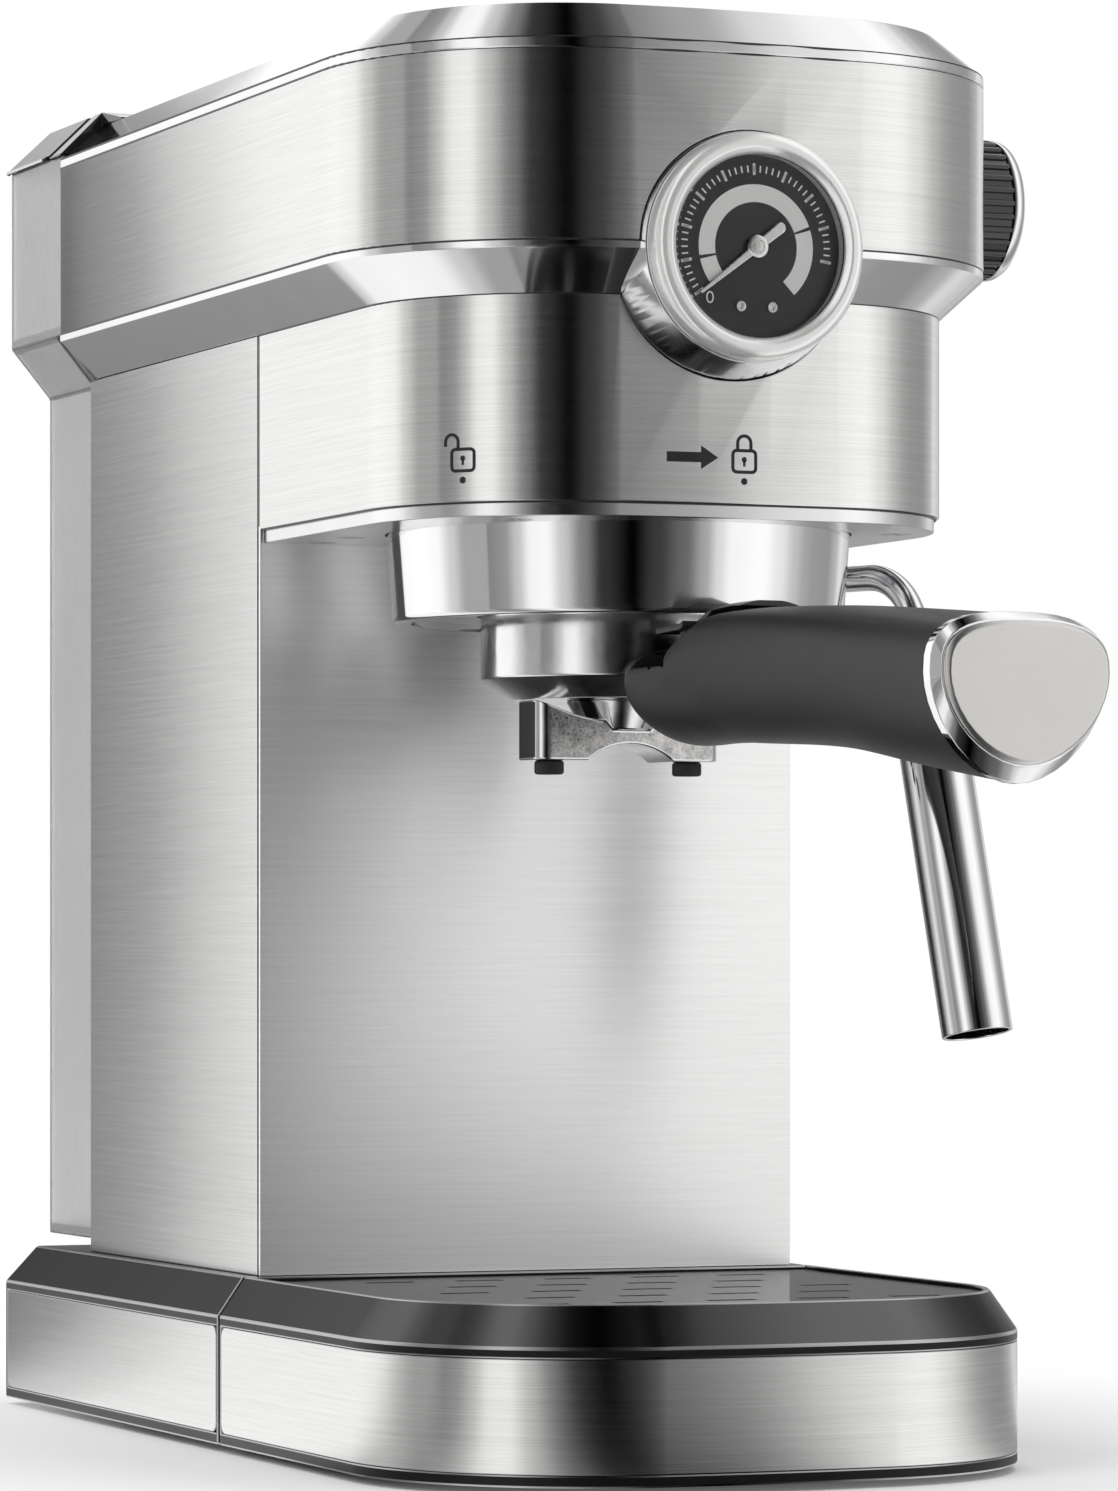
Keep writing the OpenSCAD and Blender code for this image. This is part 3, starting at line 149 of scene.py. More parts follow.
class EspressoColours(bpy.types.PropertyGroup):
    """Colours of the finishes"""

    steel: colour("Brushed steel", "Brushed stainless sheets", (0.80, 0.80, 0.79))
    front_steel: colour("Front steel", "Brushed panel under the brew group", (0.93, 0.93, 0.92))
    chrome: colour("Chrome", "Polished trims and pipes", (0.86, 0.86, 0.87))
    satin: colour("Satin silver", "Pearl finish of the handle's cap", (0.74, 0.73, 0.71))
    cast: colour("Cast metal", "Rough casting of the twin spout", (0.62, 0.61, 0.60))
    dark_metal: colour("Dark metal", "Satin coat of the base", (0.115, 0.115, 0.118))
    soft_black: colour("Soft black", "Soft touch of the handle", (0.022, 0.022, 0.0225))
    gloss_black: colour("Gloss black", "Glossy plastic", (0.012, 0.012, 0.013))
    tank: colour("Tank", "Clear grey plastic of the water tank", (0.86, 0.865, 0.87))
    smoke: colour("Lid", "Smoked plastic of the tank's lid", (0.11, 0.113, 0.12))
    dial: colour("Dial", "Face of the gauge", (0.020, 0.020, 0.021))
    print_light: colour("Light print", "Marks on the dial", (0.84, 0.83, 0.81))
    print_dark: colour("Dark print", "Marks outside the dial", (0.010, 0.010, 0.010))
    floor: colour("Floor", "Floor of the studio", (0.92, 0.92, 0.92))


def sizes():
    return bpy.context.scene.espresso_sizes


def colours():
    return bpy.context.scene.espresso_colours


# ------------------------------------------------------------------ node trees
class Nodes:
    """A node tree, built one node at a time"""

    def __init__(self, tree):
        self.tree = tree

    def feed(self, socket, value):
        """Links a socket to another node's output, or gives it a value"""
        if isinstance(value, bpy.types.NodeSocket):
            self.tree.links.new(value, socket)
        else:
            socket.default_value = value

    def add(self, kind, inputs=None, **settings):
        """Outputs of a new node with those inputs and settings"""
        made = self.tree.nodes.new(kind)
        for key, value in settings.items():
            setattr(made, key, value)
        for key, value in (inputs or {}).items():
            self.feed(made.inputs[key], value)
        return made.outputs

    def maths(self, operation, *values):
        return self.add("ShaderNodeMath", dict(enumerate(values)), operation=operation)[0]

    def vectors(self, operation, *values):
        return self.add("ShaderNodeVectorMath", dict(enumerate(values)), operation=operation)[0]

    def place(self):
        return self.add("ShaderNodeTexCoord")["Object"]


def empty_material(name):
    """New material without nodes, and its tree"""
    material = bpy.data.materials.new(name)
    material.use_nodes = True
    material.node_tree.nodes.clear()
    return material, Nodes(material.node_tree)


# ------------------------------------------------------------------ materials
class Finish(Nodes):
    """One procedural material; its sockets are named with _ for a space"""

    def __init__(self, name, base, **values):
        self.material = bpy.data.materials.new(name)
        self.material.use_nodes = True
        super().__init__(self.material.node_tree)
        self.sockets = self.tree.nodes["Principled BSDF"].inputs
        self.base = base
        self.sockets["Base Color"].default_value = (*base, 1.0)
        for socket, value in values.items():
            self.sockets[socket.replace("_", " ")].default_value = value

    def noise(self, stretch, detail=2.0, roughness=0.5):
        """Noise whose grain is 1/stretch metres; stretch is one number, or one for each axis"""
        scale = stretch if isinstance(stretch, tuple) else (stretch,) * 3
        spot = self.add("ShaderNodeMapping", {"Vector": self.place(), "Scale": scale})["Vector"]
        return self.add("ShaderNodeTexNoise", {"Vector": spot, "Scale": 1.0, "Detail": detail,
                                               "Roughness": roughness})[0]

    def between(self, fac, low, high, start=0.3, end=0.7):
        """Value that runs from low to high as fac runs from start to end"""
        return self.add("ShaderNodeMapRange", {"Value": fac, "From Min": start, "From Max": end,
                                               "To Min": low, "To Max": high})["Result"]

    def mix(self, one, two, share):
        """Two values, with that share of the second"""
        return self.add("ShaderNodeMix", {0: share, 2: one, 3: two}, data_type="FLOAT")[0]

    def shade(self, fac, low, high):
        """Colour that runs from low to high times the base"""
        start, end = [(*(min(1.0, c * part) for c in self.base), 1.0) for part in (low, high)]
        tint = self.add("ShaderNodeMix", {0: fac, 6: start, 7: end}, data_type="RGBA")[2]
        self.feed(self.sockets["Base Color"], tint)

    def rough(self, fac, low, high):
        self.feed(self.sockets["Roughness"], self.between(fac, low, high))

    def bump(self, fac, strength, depth):
        """Bump on top of what already bends the normal"""
        inputs = {"Height": fac, "Strength": strength, "Distance": depth}
        under = self.sockets["Normal"]
        if under.is_linked:
            inputs["Normal"] = under.links[0].from_socket
        self.feed(under, self.add("ShaderNodeBump", inputs)["Normal"])

    def crown(self, axis, start, amount):
        """Bends the normals as a sheet does that is slightly bowed along the axis from start on"""
        apart = self.add("ShaderNodeSeparateXYZ", {0: self.place()})
        past = self.maths("SUBTRACT", apart[axis], start)
        self.bump(self.maths("MULTIPLY", past, past), 1.0, -amount)


def brushed(name, base, roughness=(0.15, 0.24), bow=None, along="XY", axis="Z"):
    """Stainless sheet: long scratches along two axes, blurred across them"""
    made = Finish(name, base, Metallic=1.0, Anisotropic=0.8, Anisotropic_Rotation=0.25)
    if bow:
        made.crown(*bow)
    fine, broad = [made.noise(tuple(long if a in along else across for a in "XYZ"), *detail)
                   for long, across, detail in ((38, 5200, (4.0, 0.7)), (12, 1100, (3.0, 0.5)))]
    streaks = made.mix(fine, broad, 0.3)
    made.shade(made.between(streaks, 0.0, 1.0), 0.86, 1.08)
    made.rough(made.mix(streaks, made.noise(14, 1.0), 0.25), *roughness)
    made.bump(fine, 0.08, 0.01 * MM)
    tangent = made.add("ShaderNodeTangent", direction_type="RADIAL", axis=axis)["Tangent"]
    made.feed(made.sockets["Tangent"], tangent)
    return made.material


def coated(name, base, rough, grain=900, bump=(0.2, 0.03), detail=(3.0, 0.6), slow=22,
           shares=(0.6, 0.5), shade=(0.82, 1.22), bow=None, **sockets):
    """Finish whose colour and gloss follow a fine grain and a slow cloud. shares are the cloud's
    parts in the colour and in the gloss; bump is the grain's strength, and its depth in mm"""
    made = Finish(name, base, **sockets)
    if bow:
        made.crown(*bow)
    fine, cloud = made.noise(grain, *detail), made.noise(slow)
    made.shade(made.mix(fine, cloud, shares[0]), *shade)
    made.rough(made.mix(fine, cloud, shares[1]), *rough)
    if bump:
        made.bump(fine, bump[0], bump[1] * MM)
    return made.material


FINE, CLOUDED = (0, 0), (1, 0)             # shares: grain alone, or cloud in the colour alone
SOFT = (2.0, 0.5)                          # detail of a soft grain

steel_round = cache(lambda: brushed("steel_brushed_round", colours().steel))
steel_side = cache(lambda: brushed("steel_brushed_side", colours().steel, bow=("Y", -0.05, 0.34)))
steel_head = cache(lambda: brushed("steel_brushed_head", colours().steel, bow=("Y", -0.055, 0.48)))
steel_front = cache(lambda: brushed("steel_brushed_front", colours().front_steel, (0.30, 0.40),
                                    ("X", -0.13, 0.25)))
steel_across = cache(lambda: brushed("steel_brushed_across", colours().steel, along="XZ", axis="Y"))


def polished(name, bow=None):
    return coated(name, colours().chrome, (0.05, 0.09), 60, None, (3.0, 0.5), shares=FINE,
                  shade=(0.95, 1.03), bow=bow, Metallic=1.0)


chrome = cache(lambda: polished("chrome_polished"))
chrome_trim = cache(lambda: polished("chrome_polished_trim", ("Y", -0.063, 0.35)))
dark_steel = cache(lambda: coated(
    "steel_dark_polished", (0.10, 0.10, 0.103), (0.07, 0.12), 700, None, SOFT, 30, CLOUDED,
    (0.85, 1.1), Metallic=1.0, Specular_Tint=(0.05, 0.05, 0.05, 1)))


@cache
def satin_chrome():
    made = Finish("chrome_satin", colours().chrome, Metallic=1.0)
    grain = made.noise(900)
    made.shade(made.noise(50), 0.92, 1.0)
    made.rough(made.mix(grain, made.noise(30), 0.5), 0.14, 0.24)
    made.bump(grain, 0.04, 0.02 * MM)
    return made.material


pearl = cache(lambda: coated(
    "silver_pearl", colours().satin, (0.30, 0.42), 2600, (0.12, 0.02), (3.0, 0.7), 40,
    (0.4, 0), (0.86, 1.08), Metallic=1.0))
bright_satin = cache(lambda: coated(
    "silver_satin_bright", (0.93, 0.93, 0.92), (0.16, 0.26), 1800, (0.05, 0.01), (3.0, 0.5), 50,
    (0.5, 0), (0.9, 1.05), Metallic=0.55))
# Grey metal for bevelled edges: a painted highlight line along the dark coat's edges, and a painted
# edge line, darker than the steel, round the steel inlays and the tray's front
painted_light_edge = cache(lambda: coated(
    "edge_painted_light", (0.42, 0.42, 0.43), (0.16, 0.24), 1400, (0.05, 0.01), Metallic=1.0))
# Darker copy of the cast metal for the twin spout's end faces: painted shade
cast_painted_shade = cache(lambda: coated(
    "metal_cast_painted_shade", (0.045, 0.045, 0.045), (0.3, 0.5), 1100, (0.7, 0.12), Metallic=0.8))


@cache
def cast_metal():
    made = Finish("metal_sand_cast", colours().cast, Metallic=1.0)
    grain, dimple = made.noise(1500, 5.0, 0.7), made.noise(420, 3.0)
    made.shade(made.between(made.mix(grain, dimple, 0.4), 0.0, 1.0, 0.35, 0.6), 0.45, 1.25)
    made.rough(grain, 0.22, 0.46)
    made.bump(made.mix(grain, dimple, 0.5), 0.55, 0.16 * MM)
    return made.material


polished_cast = cache(lambda: coated(
    "metal_cast_polished", colours().chrome, (0.08, 0.18), 160, (0.15, 0.3), SOFT, shares=FINE,
    shade=(0.85, 1.05), Metallic=1.0))
base_coat = cache(lambda: coated(
    "base_satin_coat", colours().dark_metal, (0.12, 0.19), 1400, (0.1, 0.01), Metallic=1.0,
    Specular_Tint=(0.45, 0.45, 0.45, 1)))
strip_black = cache(lambda: coated(
    "plastic_black_strip", (0.007, 0.007, 0.007), (0.25, 0.35), 900, (0.1, 0.03),
    Specular_IOR_Level=0.18))
soft_black = cache(lambda: coated(
    "plastic_soft_black", colours().soft_black, (0.38, 0.48), 1700, (0.6, 0.06),
    Specular_IOR_Level=0.32))
gloss_black = cache(lambda: coated(
    "plastic_gloss_black", colours().gloss_black, (0.07, 0.14), 260, (0.03, 0.03), Coat_Weight=0.6,
    Coat_Roughness=0.05))
satin_black = cache(lambda: coated("plastic_satin_black", (0.022, 0.022, 0.023), (0.28, 0.4), 1300))
rubber = cache(lambda: coated(
    "rubber_black", (0.016, 0.016, 0.016), (0.55, 0.75), 1600, (0.4, 0.06)))
tank_plastic = cache(lambda: coated(
    "tank_clear_grey", colours().tank, (0.10, 0.22), 300, (0.05, 0.04), SOFT, 18, CLOUDED,
    (0.9, 1.05), IOR=1.5, Transmission_Weight=0.82))
smoke_plastic = cache(lambda: coated(
    "lid_smoked", colours().smoke, (0.06, 0.14), 200, None, SOFT, 24, CLOUDED, (0.8, 1.15),
    IOR=1.5, Transmission_Weight=0.55))
lens_glass = cache(lambda: coated(
    "gauge_lens", (1.0, 1.0, 1.0), (0.0, 0.03), 60, None, SOFT, shares=FINE, shade=(1, 1), IOR=1.12,
    Transmission_Weight=1.0))
dial_face = cache(lambda: coated(
    "dial_charcoal", colours().dial, (0.32, 0.5), 3000, (0.15, 0.02), (3.0, 0.5), 45, (0.5, 0),
    (0.7, 1.5)))
light_print = cache(lambda: coated(
    "print_light", colours().print_light, (0.4, 0.55), 2500, (0.05, 0.03)))
dark_print = cache(lambda: coated(
    "print_dark", colours().print_dark, (0.35, 0.5), 2500, (0.05, 0.03)))
needle_metal = cache(lambda: coated(
    "needle_silver", (0.70, 0.70, 0.69), (0.24, 0.34), 1800, (0.05, 0.03), Metallic=1.0))
screw_steel = cache(lambda: coated(
    "screw_steel", (0.60, 0.60, 0.60), (0.2, 0.34), 1500, (0.1, 0.03), Metallic=1.0))
button_silver = cache(lambda: coated(
    "button_silver", (0.62, 0.62, 0.63), (0.24, 0.32), 2200, (0.1, 0.03), Metallic=0.9))
brass = cache(lambda: coated(
    "brass", (0.62, 0.42, 0.16), (0.2, 0.34), 700, (0.1, 0.03), Metallic=1.0))
copper = cache(lambda: coated(
    "copper", (0.72, 0.33, 0.18), (0.2, 0.36), 500, (0.1, 0.03), Metallic=1.0))
bare_metal = cache(lambda: coated(
    "metal_die_cast", (0.50, 0.50, 0.51), (0.34, 0.5), 900, (0.3, 0.05), Metallic=1.0))
red_silicone = cache(lambda: coated("silicone_red", (0.28, 0.045, 0.03), (0.45, 0.6)))
ceramic = cache(lambda: coated("ceramic", (0.62, 0.58, 0.48), (0.4, 0.6), 700))
board_green = cache(lambda: coated("board_green", (0.02, 0.14, 0.06), (0.3, 0.45)))
white_plastic = cache(lambda: coated("plastic_white", (0.70, 0.70, 0.69), (0.35, 0.5)))


# ------------------------------------------------------------------ meshes
def new_object(name, mesh):
    made = bpy.data.objects.new(name, mesh)
    bpy.context.scene.collection.objects.link(made)
    return made


def from_bmesh(name, bm, recalc=True):
    if recalc:
        bmesh.ops.recalc_face_normals(bm, faces=bm.faces)
    mesh = bpy.data.meshes.new(name)
    bm.to_mesh(mesh)
    bm.free()
    return new_object(name, mesh)


def bake_modifiers(piece):
    """Turns what the modifiers make into the piece's own mesh"""
    graph = bpy.context.evaluated_depsgraph_get()
    mesh = bpy.data.meshes.new_from_object(piece.evaluated_get(graph))
    piece.modifiers.clear()
    old = piece.data
    piece.data = mesh
    if isinstance(old, bpy.types.Mesh):
        bpy.data.meshes.remove(old)
    return piece


def smooth(piece, angle=30.0, weighted=True):
    """Smooth shading, with an edge wherever faces meet at more than the angle"""
    mesh = piece.data
    mesh.polygons.foreach_set("use_smooth", [True] * len(mesh.polygons))
    mesh.set_sharp_from_angle(angle=math.radians(angle))
    if weighted:
        normals = piece.modifiers.new("normals", "WEIGHTED_NORMAL")
        normals.keep_sharp = True
        normals.weight = 80
        bake_modifiers(piece)
    return piece


def bevelled(piece, width, segments=2, angle=30.0, material=-1):
    bevel = piece.modifiers.new("edges", "BEVEL")
    bevel.width = width
    bevel.segments = segments
    bevel.limit_method = "ANGLE"
    bevel.angle_limit = math.radians(angle)
    bevel.use_clamp_overlap = False
    bevel.material = material
    return bake_modifiers(piece)


def finish(piece, body, node=None):
    """Puts a finished piece on its body, and lets it stand for the node"""
    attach(piece, body)
    if node:
        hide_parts(node)


def dress(piece, material, body, node=None):
    """Gives a finished piece its one material and its body"""
    piece.data.materials.clear()
    piece.data.materials.append(material)
    finish(piece, body, node)


def merged_mesh(node):
    """The node's solid as one joined mesh, with its flat faces whole"""
    bm = bmesh.new()
    bm.from_mesh(frame["nodes"][node].data)
    bmesh.ops.remove_doubles(bm, verts=bm.verts, dist=2e-6)
    bmesh.ops.dissolve_limit(bm, angle_limit=math.radians(0.4), verts=bm.verts, edges=bm.edges)
    mesh = bpy.data.meshes.new(node)
    bm.to_mesh(mesh)
    bm.free()
    if "custom_normal" in mesh.attributes:
        mesh.attributes.remove(mesh.attributes["custom_normal"])
    return mesh


def filleted(piece, radius, wanted, material=-1):
    """Rounds the edges that the test picks by their way and length"""
    bm = bmesh.new()
    bm.from_mesh(piece.data)
    edges = [e for e in bm.edges if e.calc_face_angle(0) > 1 and
             wanted((e.verts[1].co - e.verts[0].co).normalized(), e.calc_length())]
    bmesh.ops.bevel(bm, geom=edges, offset=radius, offset_type="OFFSET", segments=8, profile=0.5,
                    affect="EDGES", clamp_overlap=True, material=material)
    bm.to_mesh(piece.data)
    bm.free()


def rounded(node, material, edge=0.0, angle=30.0, segments=2, edge_material=None,
            fillet=None, patch=None):
    """The node's solid with softened edges, which stands for it; edges may have their own material,
    which on some pieces is a painted light line.
    fillet is a larger radius and the test for its edges, and patch is a third finish and the
    test for its faces"""
    piece = new_object(f"{node}_finish", merged_mesh(node))
    for coat in (material, edge_material or material, *(patch or ())[:1]):
        piece.data.materials.append(coat)
    of_edges = 1 if edge_material else -1
    if fillet:
        filleted(piece, *fillet, of_edges)
    if edge > 0:
        bevelled(piece, edge, segments, angle, of_edges)
    if patch:
        for face in piece.data.polygons:
            if face.material_index == 0 and patch[1](face.normal):
                face.material_index = 2
    smooth(piece, angle)
    finish(piece, body_of(node), node)


def upright(normal):
    """Face of a wall that stands upright, or one that looks down"""
    return normal.z < 0.25


def across_sheet(way, long):
    """Short level edge across a sheet's thickness"""
    return abs(way.z) < 0.1 and long < 1.6 * MM


def paint(node, material):
    """Another material on a solid that shows as it is"""
    mesh = frame["nodes"][node].data
    mesh.materials.clear()
    mesh.materials.append(material)


def local_frame(origin, across, out):
    """Matrix whose X runs across, Z runs out and Y is square to both"""
    z = Vector(out).normalized()
    x = Vector(across).normalized()
    y = z.cross(x)
    made = Matrix((x, y, z)).transposed().to_4x4()
    made.translation = Vector(origin)
    return made


def place(piece, matrix):
    piece.data.transform(matrix)
    return piece


def lathe(name, profile, place_at, steps=128):
    """Turned piece: profile of (radius, height) pairs, from one end to the other"""
    bm = bmesh.new()
    rings = []
    for radius, height in profile:
        if radius <= 0:
            rings.append([bm.verts.new((0, 0, height))])
            continue
        rings.append([bm.verts.new((radius * math.cos(2 * math.pi * k / steps),
                                    radius * math.sin(2 * math.pi * k / steps), height))
                      for k in range(steps)])
    for low, high in zip(rings, rings[1:]):
        for k in range(steps):
            n = (k + 1) % steps
            corners = ((low, k), (low, n), (high, n), (high, k))
            unique = list(dict.fromkeys(ring[i % len(ring)] for ring, i in corners))
            if len(unique) > 2:
                bm.faces.new(unique)
    if profile[0] == profile[-1]:
        bmesh.ops.remove_doubles(bm, verts=rings[0] + rings[-1], dist=1e-7)
    else:
        for ring in (rings[0], rings[-1]):
            if len(ring) > 1:
                bm.faces.new(ring)
    return place(from_bmesh(name, bm), place_at)


def loft(name, rings):
    """Skin over rings that have the same number of points, closed at both ends"""
    bm = bmesh.new()
    rows = [[bm.verts.new(p) for p in ring] for ring in rings]
    count = len(rows[0])
    for low, high in zip(rows, rows[1:]):
        for k in range(count):
            n = (k + 1) % count
            bm.faces.new((low[k], low[n], high[n], high[k]))
    bm.faces.new(rows[0])
    bm.faces.new(rows[-1])
    return from_bmesh(name, bm)


def cut(piece, tools, operation="DIFFERENCE"):
    """Takes the tools out of the piece, or adds them to it, and deletes them"""
    for tool in tools:
        step = piece.modifiers.new("cut", "BOOLEAN")
        step.operation = operation
        step.solver = "EXACT"
        step.object = tool
    bake_modifiers(piece)
    for tool in tools:
        bpy.data.objects.remove(tool)


def box_piece(name, low, high, matrix=Matrix.Identity(4)):
    bm = bmesh.new()
    bmesh.ops.create_cube(bm, size=1.0)
    low, high = Vector(low), Vector(high)
    for v in bm.verts:
        v.co = [(a + b) / 2 + c * (b - a) for a, b, c in zip(low, high, v.co)]
    return place(from_bmesh(name, bm), matrix)


def joined(name, pieces):
    """One object out of several"""
    bm = bmesh.new()
    for piece in pieces:
        bm.from_mesh(piece.data)
    for piece in pieces:
        bpy.data.objects.remove(piece)
    return from_bmesh(name, bm, recalc=False)


# ------------------------------------------------------------------ walls round the head
HEAD_CORNER, HEAD_BOW = 53 * MM, 300 * MM


def nose_outline(inset, back):
    """Plan of the head, set in: straight sides, round corners and a shallow bow between them"""
    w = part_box("head_upper_shell")[1].x - inset
    front = -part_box("head_upper_shell")[0].y - inset
    r, bow = HEAD_CORNER - inset, HEAD_BOW - inset
    lift = bow - math.sqrt((bow - r) ** 2 - (w - r) ** 2)
    a = math.asin((w - r) / (bow - r))

    def part(cx, cy, radius, start, end, count):
        turns = [start + (end - start) * k / count for k in range(count + 1)]
        return [(cx + radius * math.sin(t), cy - radius * math.cos(t)) for t in turns]
    left = part(r - w, lift - front, r, -math.pi / 2, -a, 28)
    nose = part(0, bow - front, bow, -a, a, 24)
    right = part(w - r, lift - front, r, a, math.pi / 2, 28)
    return [(-w, back)] + left + nose[1:-1] + right + [(w, back)]


def swept(name, profile, back):
    """Solid whose profile of (inset, height) pairs runs round the head's outline"""
    bm = bmesh.new()
    rows = [[bm.verts.new((x, y, z)) for x, y in nose_outline(inset, back)] for inset, z in profile]
    for one, two in zip(rows, rows[1:] + rows[:1]):
        for k in range(len(one) - 1):
            bm.faces.new((one[k], one[k + 1], two[k + 1], two[k]))
    for end in (0, -1):
        bm.faces.new([row[end] for row in rows])
    return from_bmesh(name, bm)


def painted_shade_seam(name, inset, z, back):
    """Black ring deep in the groove between two sheets: painted shade where the groove's bottom
    falls dark
    """
    low, high, outer, inner = z - 0.32 * MM, z + 0.32 * MM, inset + 0.04 * MM, inset + 0.6 * MM
    piece = swept(name, [(outer, low), (outer, high), (inner, high), (inner, low)], back)
    dress(piece, satin_black(), "machine")


# ------------------------------------------------------------------ flat marks
PROUD = 0.01 * MM                                  # gap under a mark


def arc(centre, radius, start, end, step=6.0):
    """Points on an arc, in degrees from the local X axis"""
    count = max(2, int(abs(end - start) / step) + 1)
    turns = [math.radians(start + (end - start) * k / count) for k in range(count + 1)]
    return [(centre[0] + radius * math.cos(t), centre[1] + radius * math.sin(t)) for t in turns]


def line(start, end, step=0.5 * MM):
    count = max(1, int(math.dist(start, end) / step))
    return [tuple(a + (b - a) * k / count for a, b in zip(start, end)) for k in range(count + 1)]


def path(corners, step=0.5 * MM):
    """Points on the straight lines from corner to corner"""
    return [p for start, end in zip(corners, corners[1:]) for p in line(start, end, step)]


def ribbon(bm, points, widths, surface):
    """Flat band along points in a surface's own plane; surface(u, v) gives a place in space"""
    if not isinstance(widths, (list, tuple)):
        widths = [widths] * len(points)
    rows = []
    for k, (u, v) in enumerate(points):
        u0, v0 = points[max(k - 1, 0)]
        u1, v1 = points[min(k + 1, len(points) - 1)]
        long = math.hypot(u1 - u0, v1 - v0) or 1.0
        nu, nv = -(v1 - v0) / long * widths[k] / 2, (u1 - u0) / long * widths[k] / 2
        rows.append([bm.verts.new(surface(u + nu, v + nv)), bm.verts.new(surface(u - nu, v - nv))])
    for one, two in zip(rows, rows[1:]):
        bm.faces.new((one[0], one[1], two[1], two[0]))


def printed(name, bands, surface, material, body, outward):
    """Marks of ink with a real thickness; outward is a way that they face"""
    bm = bmesh.new()
    for points, widths in bands:
        ribbon(bm, points, widths, surface)
    for face in bm.faces:
        face.normal_update()
        if face.normal.dot(outward(face.calc_center_median())) < 0:
            face.normal_flip()
    made = from_bmesh(name, bm, recalc=False)
    thick = made.modifiers.new("thickness", "SOLIDIFY")
    thick.thickness = sizes().print_thickness
    thick.offset = 1.0
    bake_modifiers(made)
    dress(made, material, body)


# ------------------------------------------------------------------ geometry nodes
def array_tree(name, kind):
    """Tree that repeats an item round an axis ("ring") or along a line ("row")"""
    tree = bpy.data.node_groups.new(name, "GeometryNodeTree")
    tree.interface.new_socket("Geometry", in_out="OUTPUT", socket_type="NodeSocketGeometry")
    for socket, holds in (("Item", "Object"), ("Count", "Int"), ("Step", "Vector"),
                          ("Start", "Vector"), ("Material", "Material")):
        tree.interface.new_socket(socket, in_out="INPUT", socket_type=f"NodeSocket{holds}")
    nodes = Nodes(tree)
    given = nodes.add("NodeGroupInput")
    item = nodes.add("GeometryNodeObjectInfo", {"Object": given["Item"]})["Geometry"]
    if kind == "ring":
        index = nodes.add("GeometryNodeInputIndex")[0]
        spread = {"Offset": (0, 0, 0)}
        turned = {"Rotation": nodes.vectors("MULTIPLY_ADD", index, given["Step"], given["Start"])}
    else:
        spread, turned = {"Offset": given["Step"], "Start Location": given["Start"]}, {}
    spots = nodes.add("GeometryNodeMeshLine", {"Count": given["Count"], **spread})["Mesh"]
    copies = nodes.add("GeometryNodeInstanceOnPoints",
                       {"Points": spots, "Instance": item, **turned})["Instances"]
    real = nodes.add("GeometryNodeRealizeInstances", {"Geometry": copies})["Geometry"]
    coat = nodes.add("GeometryNodeSetMaterial", {"Geometry": real, "Material": given["Material"]})
    nodes.add("NodeGroupOutput", {"Geometry": coat["Geometry"]})
    return tree


def repeated(name, kind, item, count, step, start, material, matrix=Matrix.Identity(4)):
    """Copies of the item made by a node tree, as one plain mesh; the item is used up"""
    tree = bpy.data.node_groups.get(f"repeat_{kind}") or array_tree(f"repeat_{kind}", kind)
    holder = new_object(name, bpy.data.meshes.new(name))
    step_maker = holder.modifiers.new("repeat", "NODES")
    step_maker.node_group = tree
    sockets = {s.name: s.identifier for s in tree.interface.items_tree if s.in_out == "INPUT"}
    for key, value in (("Item", item), ("Count", count), ("Step", step), ("Start", start),
                       ("Material", material)):
        step_maker[sockets[key]] = value
    bake_modifiers(holder)
    bpy.data.objects.remove(item)
    return place(holder, matrix)


# ------------------------------------------------------------------ operators
class EspressoStep:
    """What every operator here shares"""

    bl_options = {"REGISTER", "UNDO"}


class ESPRESSO_OT_base(EspressoStep, bpy.types.Operator):
    """Base with its steel inlays, feet, screws and cord gland"""

    bl_idname = "espresso.base"
    bl_label = "Base"

    def execute(self, context):
        # the coat's and the inlays' bevelled edges carry painted light lines
        rounded("base_housing", base_coat(), sizes().moulded_edge, edge_material=painted_light_edge(),
                patch=(strip_black(), upright))
        rounded("base_side_panels", steel_side(), sizes().small_edge, edge_material=painted_light_edge(),
                fillet=(sizes().inlay_corner, across_sheet))
        rounded("bottom_plate", satin_black(), sizes().small_edge)
        rounded("rubber_feet", rubber(), sizes().moulded_edge)
        rounded("cord_gland", rubber(), sizes().small_edge)
        rounded("cross_screws", screw_steel(), sizes().screw_edge)
        return {"FINISHED"}


class ESPRESSO_OT_column(EspressoStep, bpy.types.Operator):
    """Slim steel column with its frame and pump"""

    bl_idname = "espresso.column"
    bl_label = "Column"

    def execute(self, context):
        rounded("column_shell", steel_side(), sizes().sheet_edge)
        rounded("column_front_panel", steel_front(), sizes().small_edge)
        paint("column_frame", satin_black())
        paint("water_pump", bare_metal())
        return {"FINISHED"}


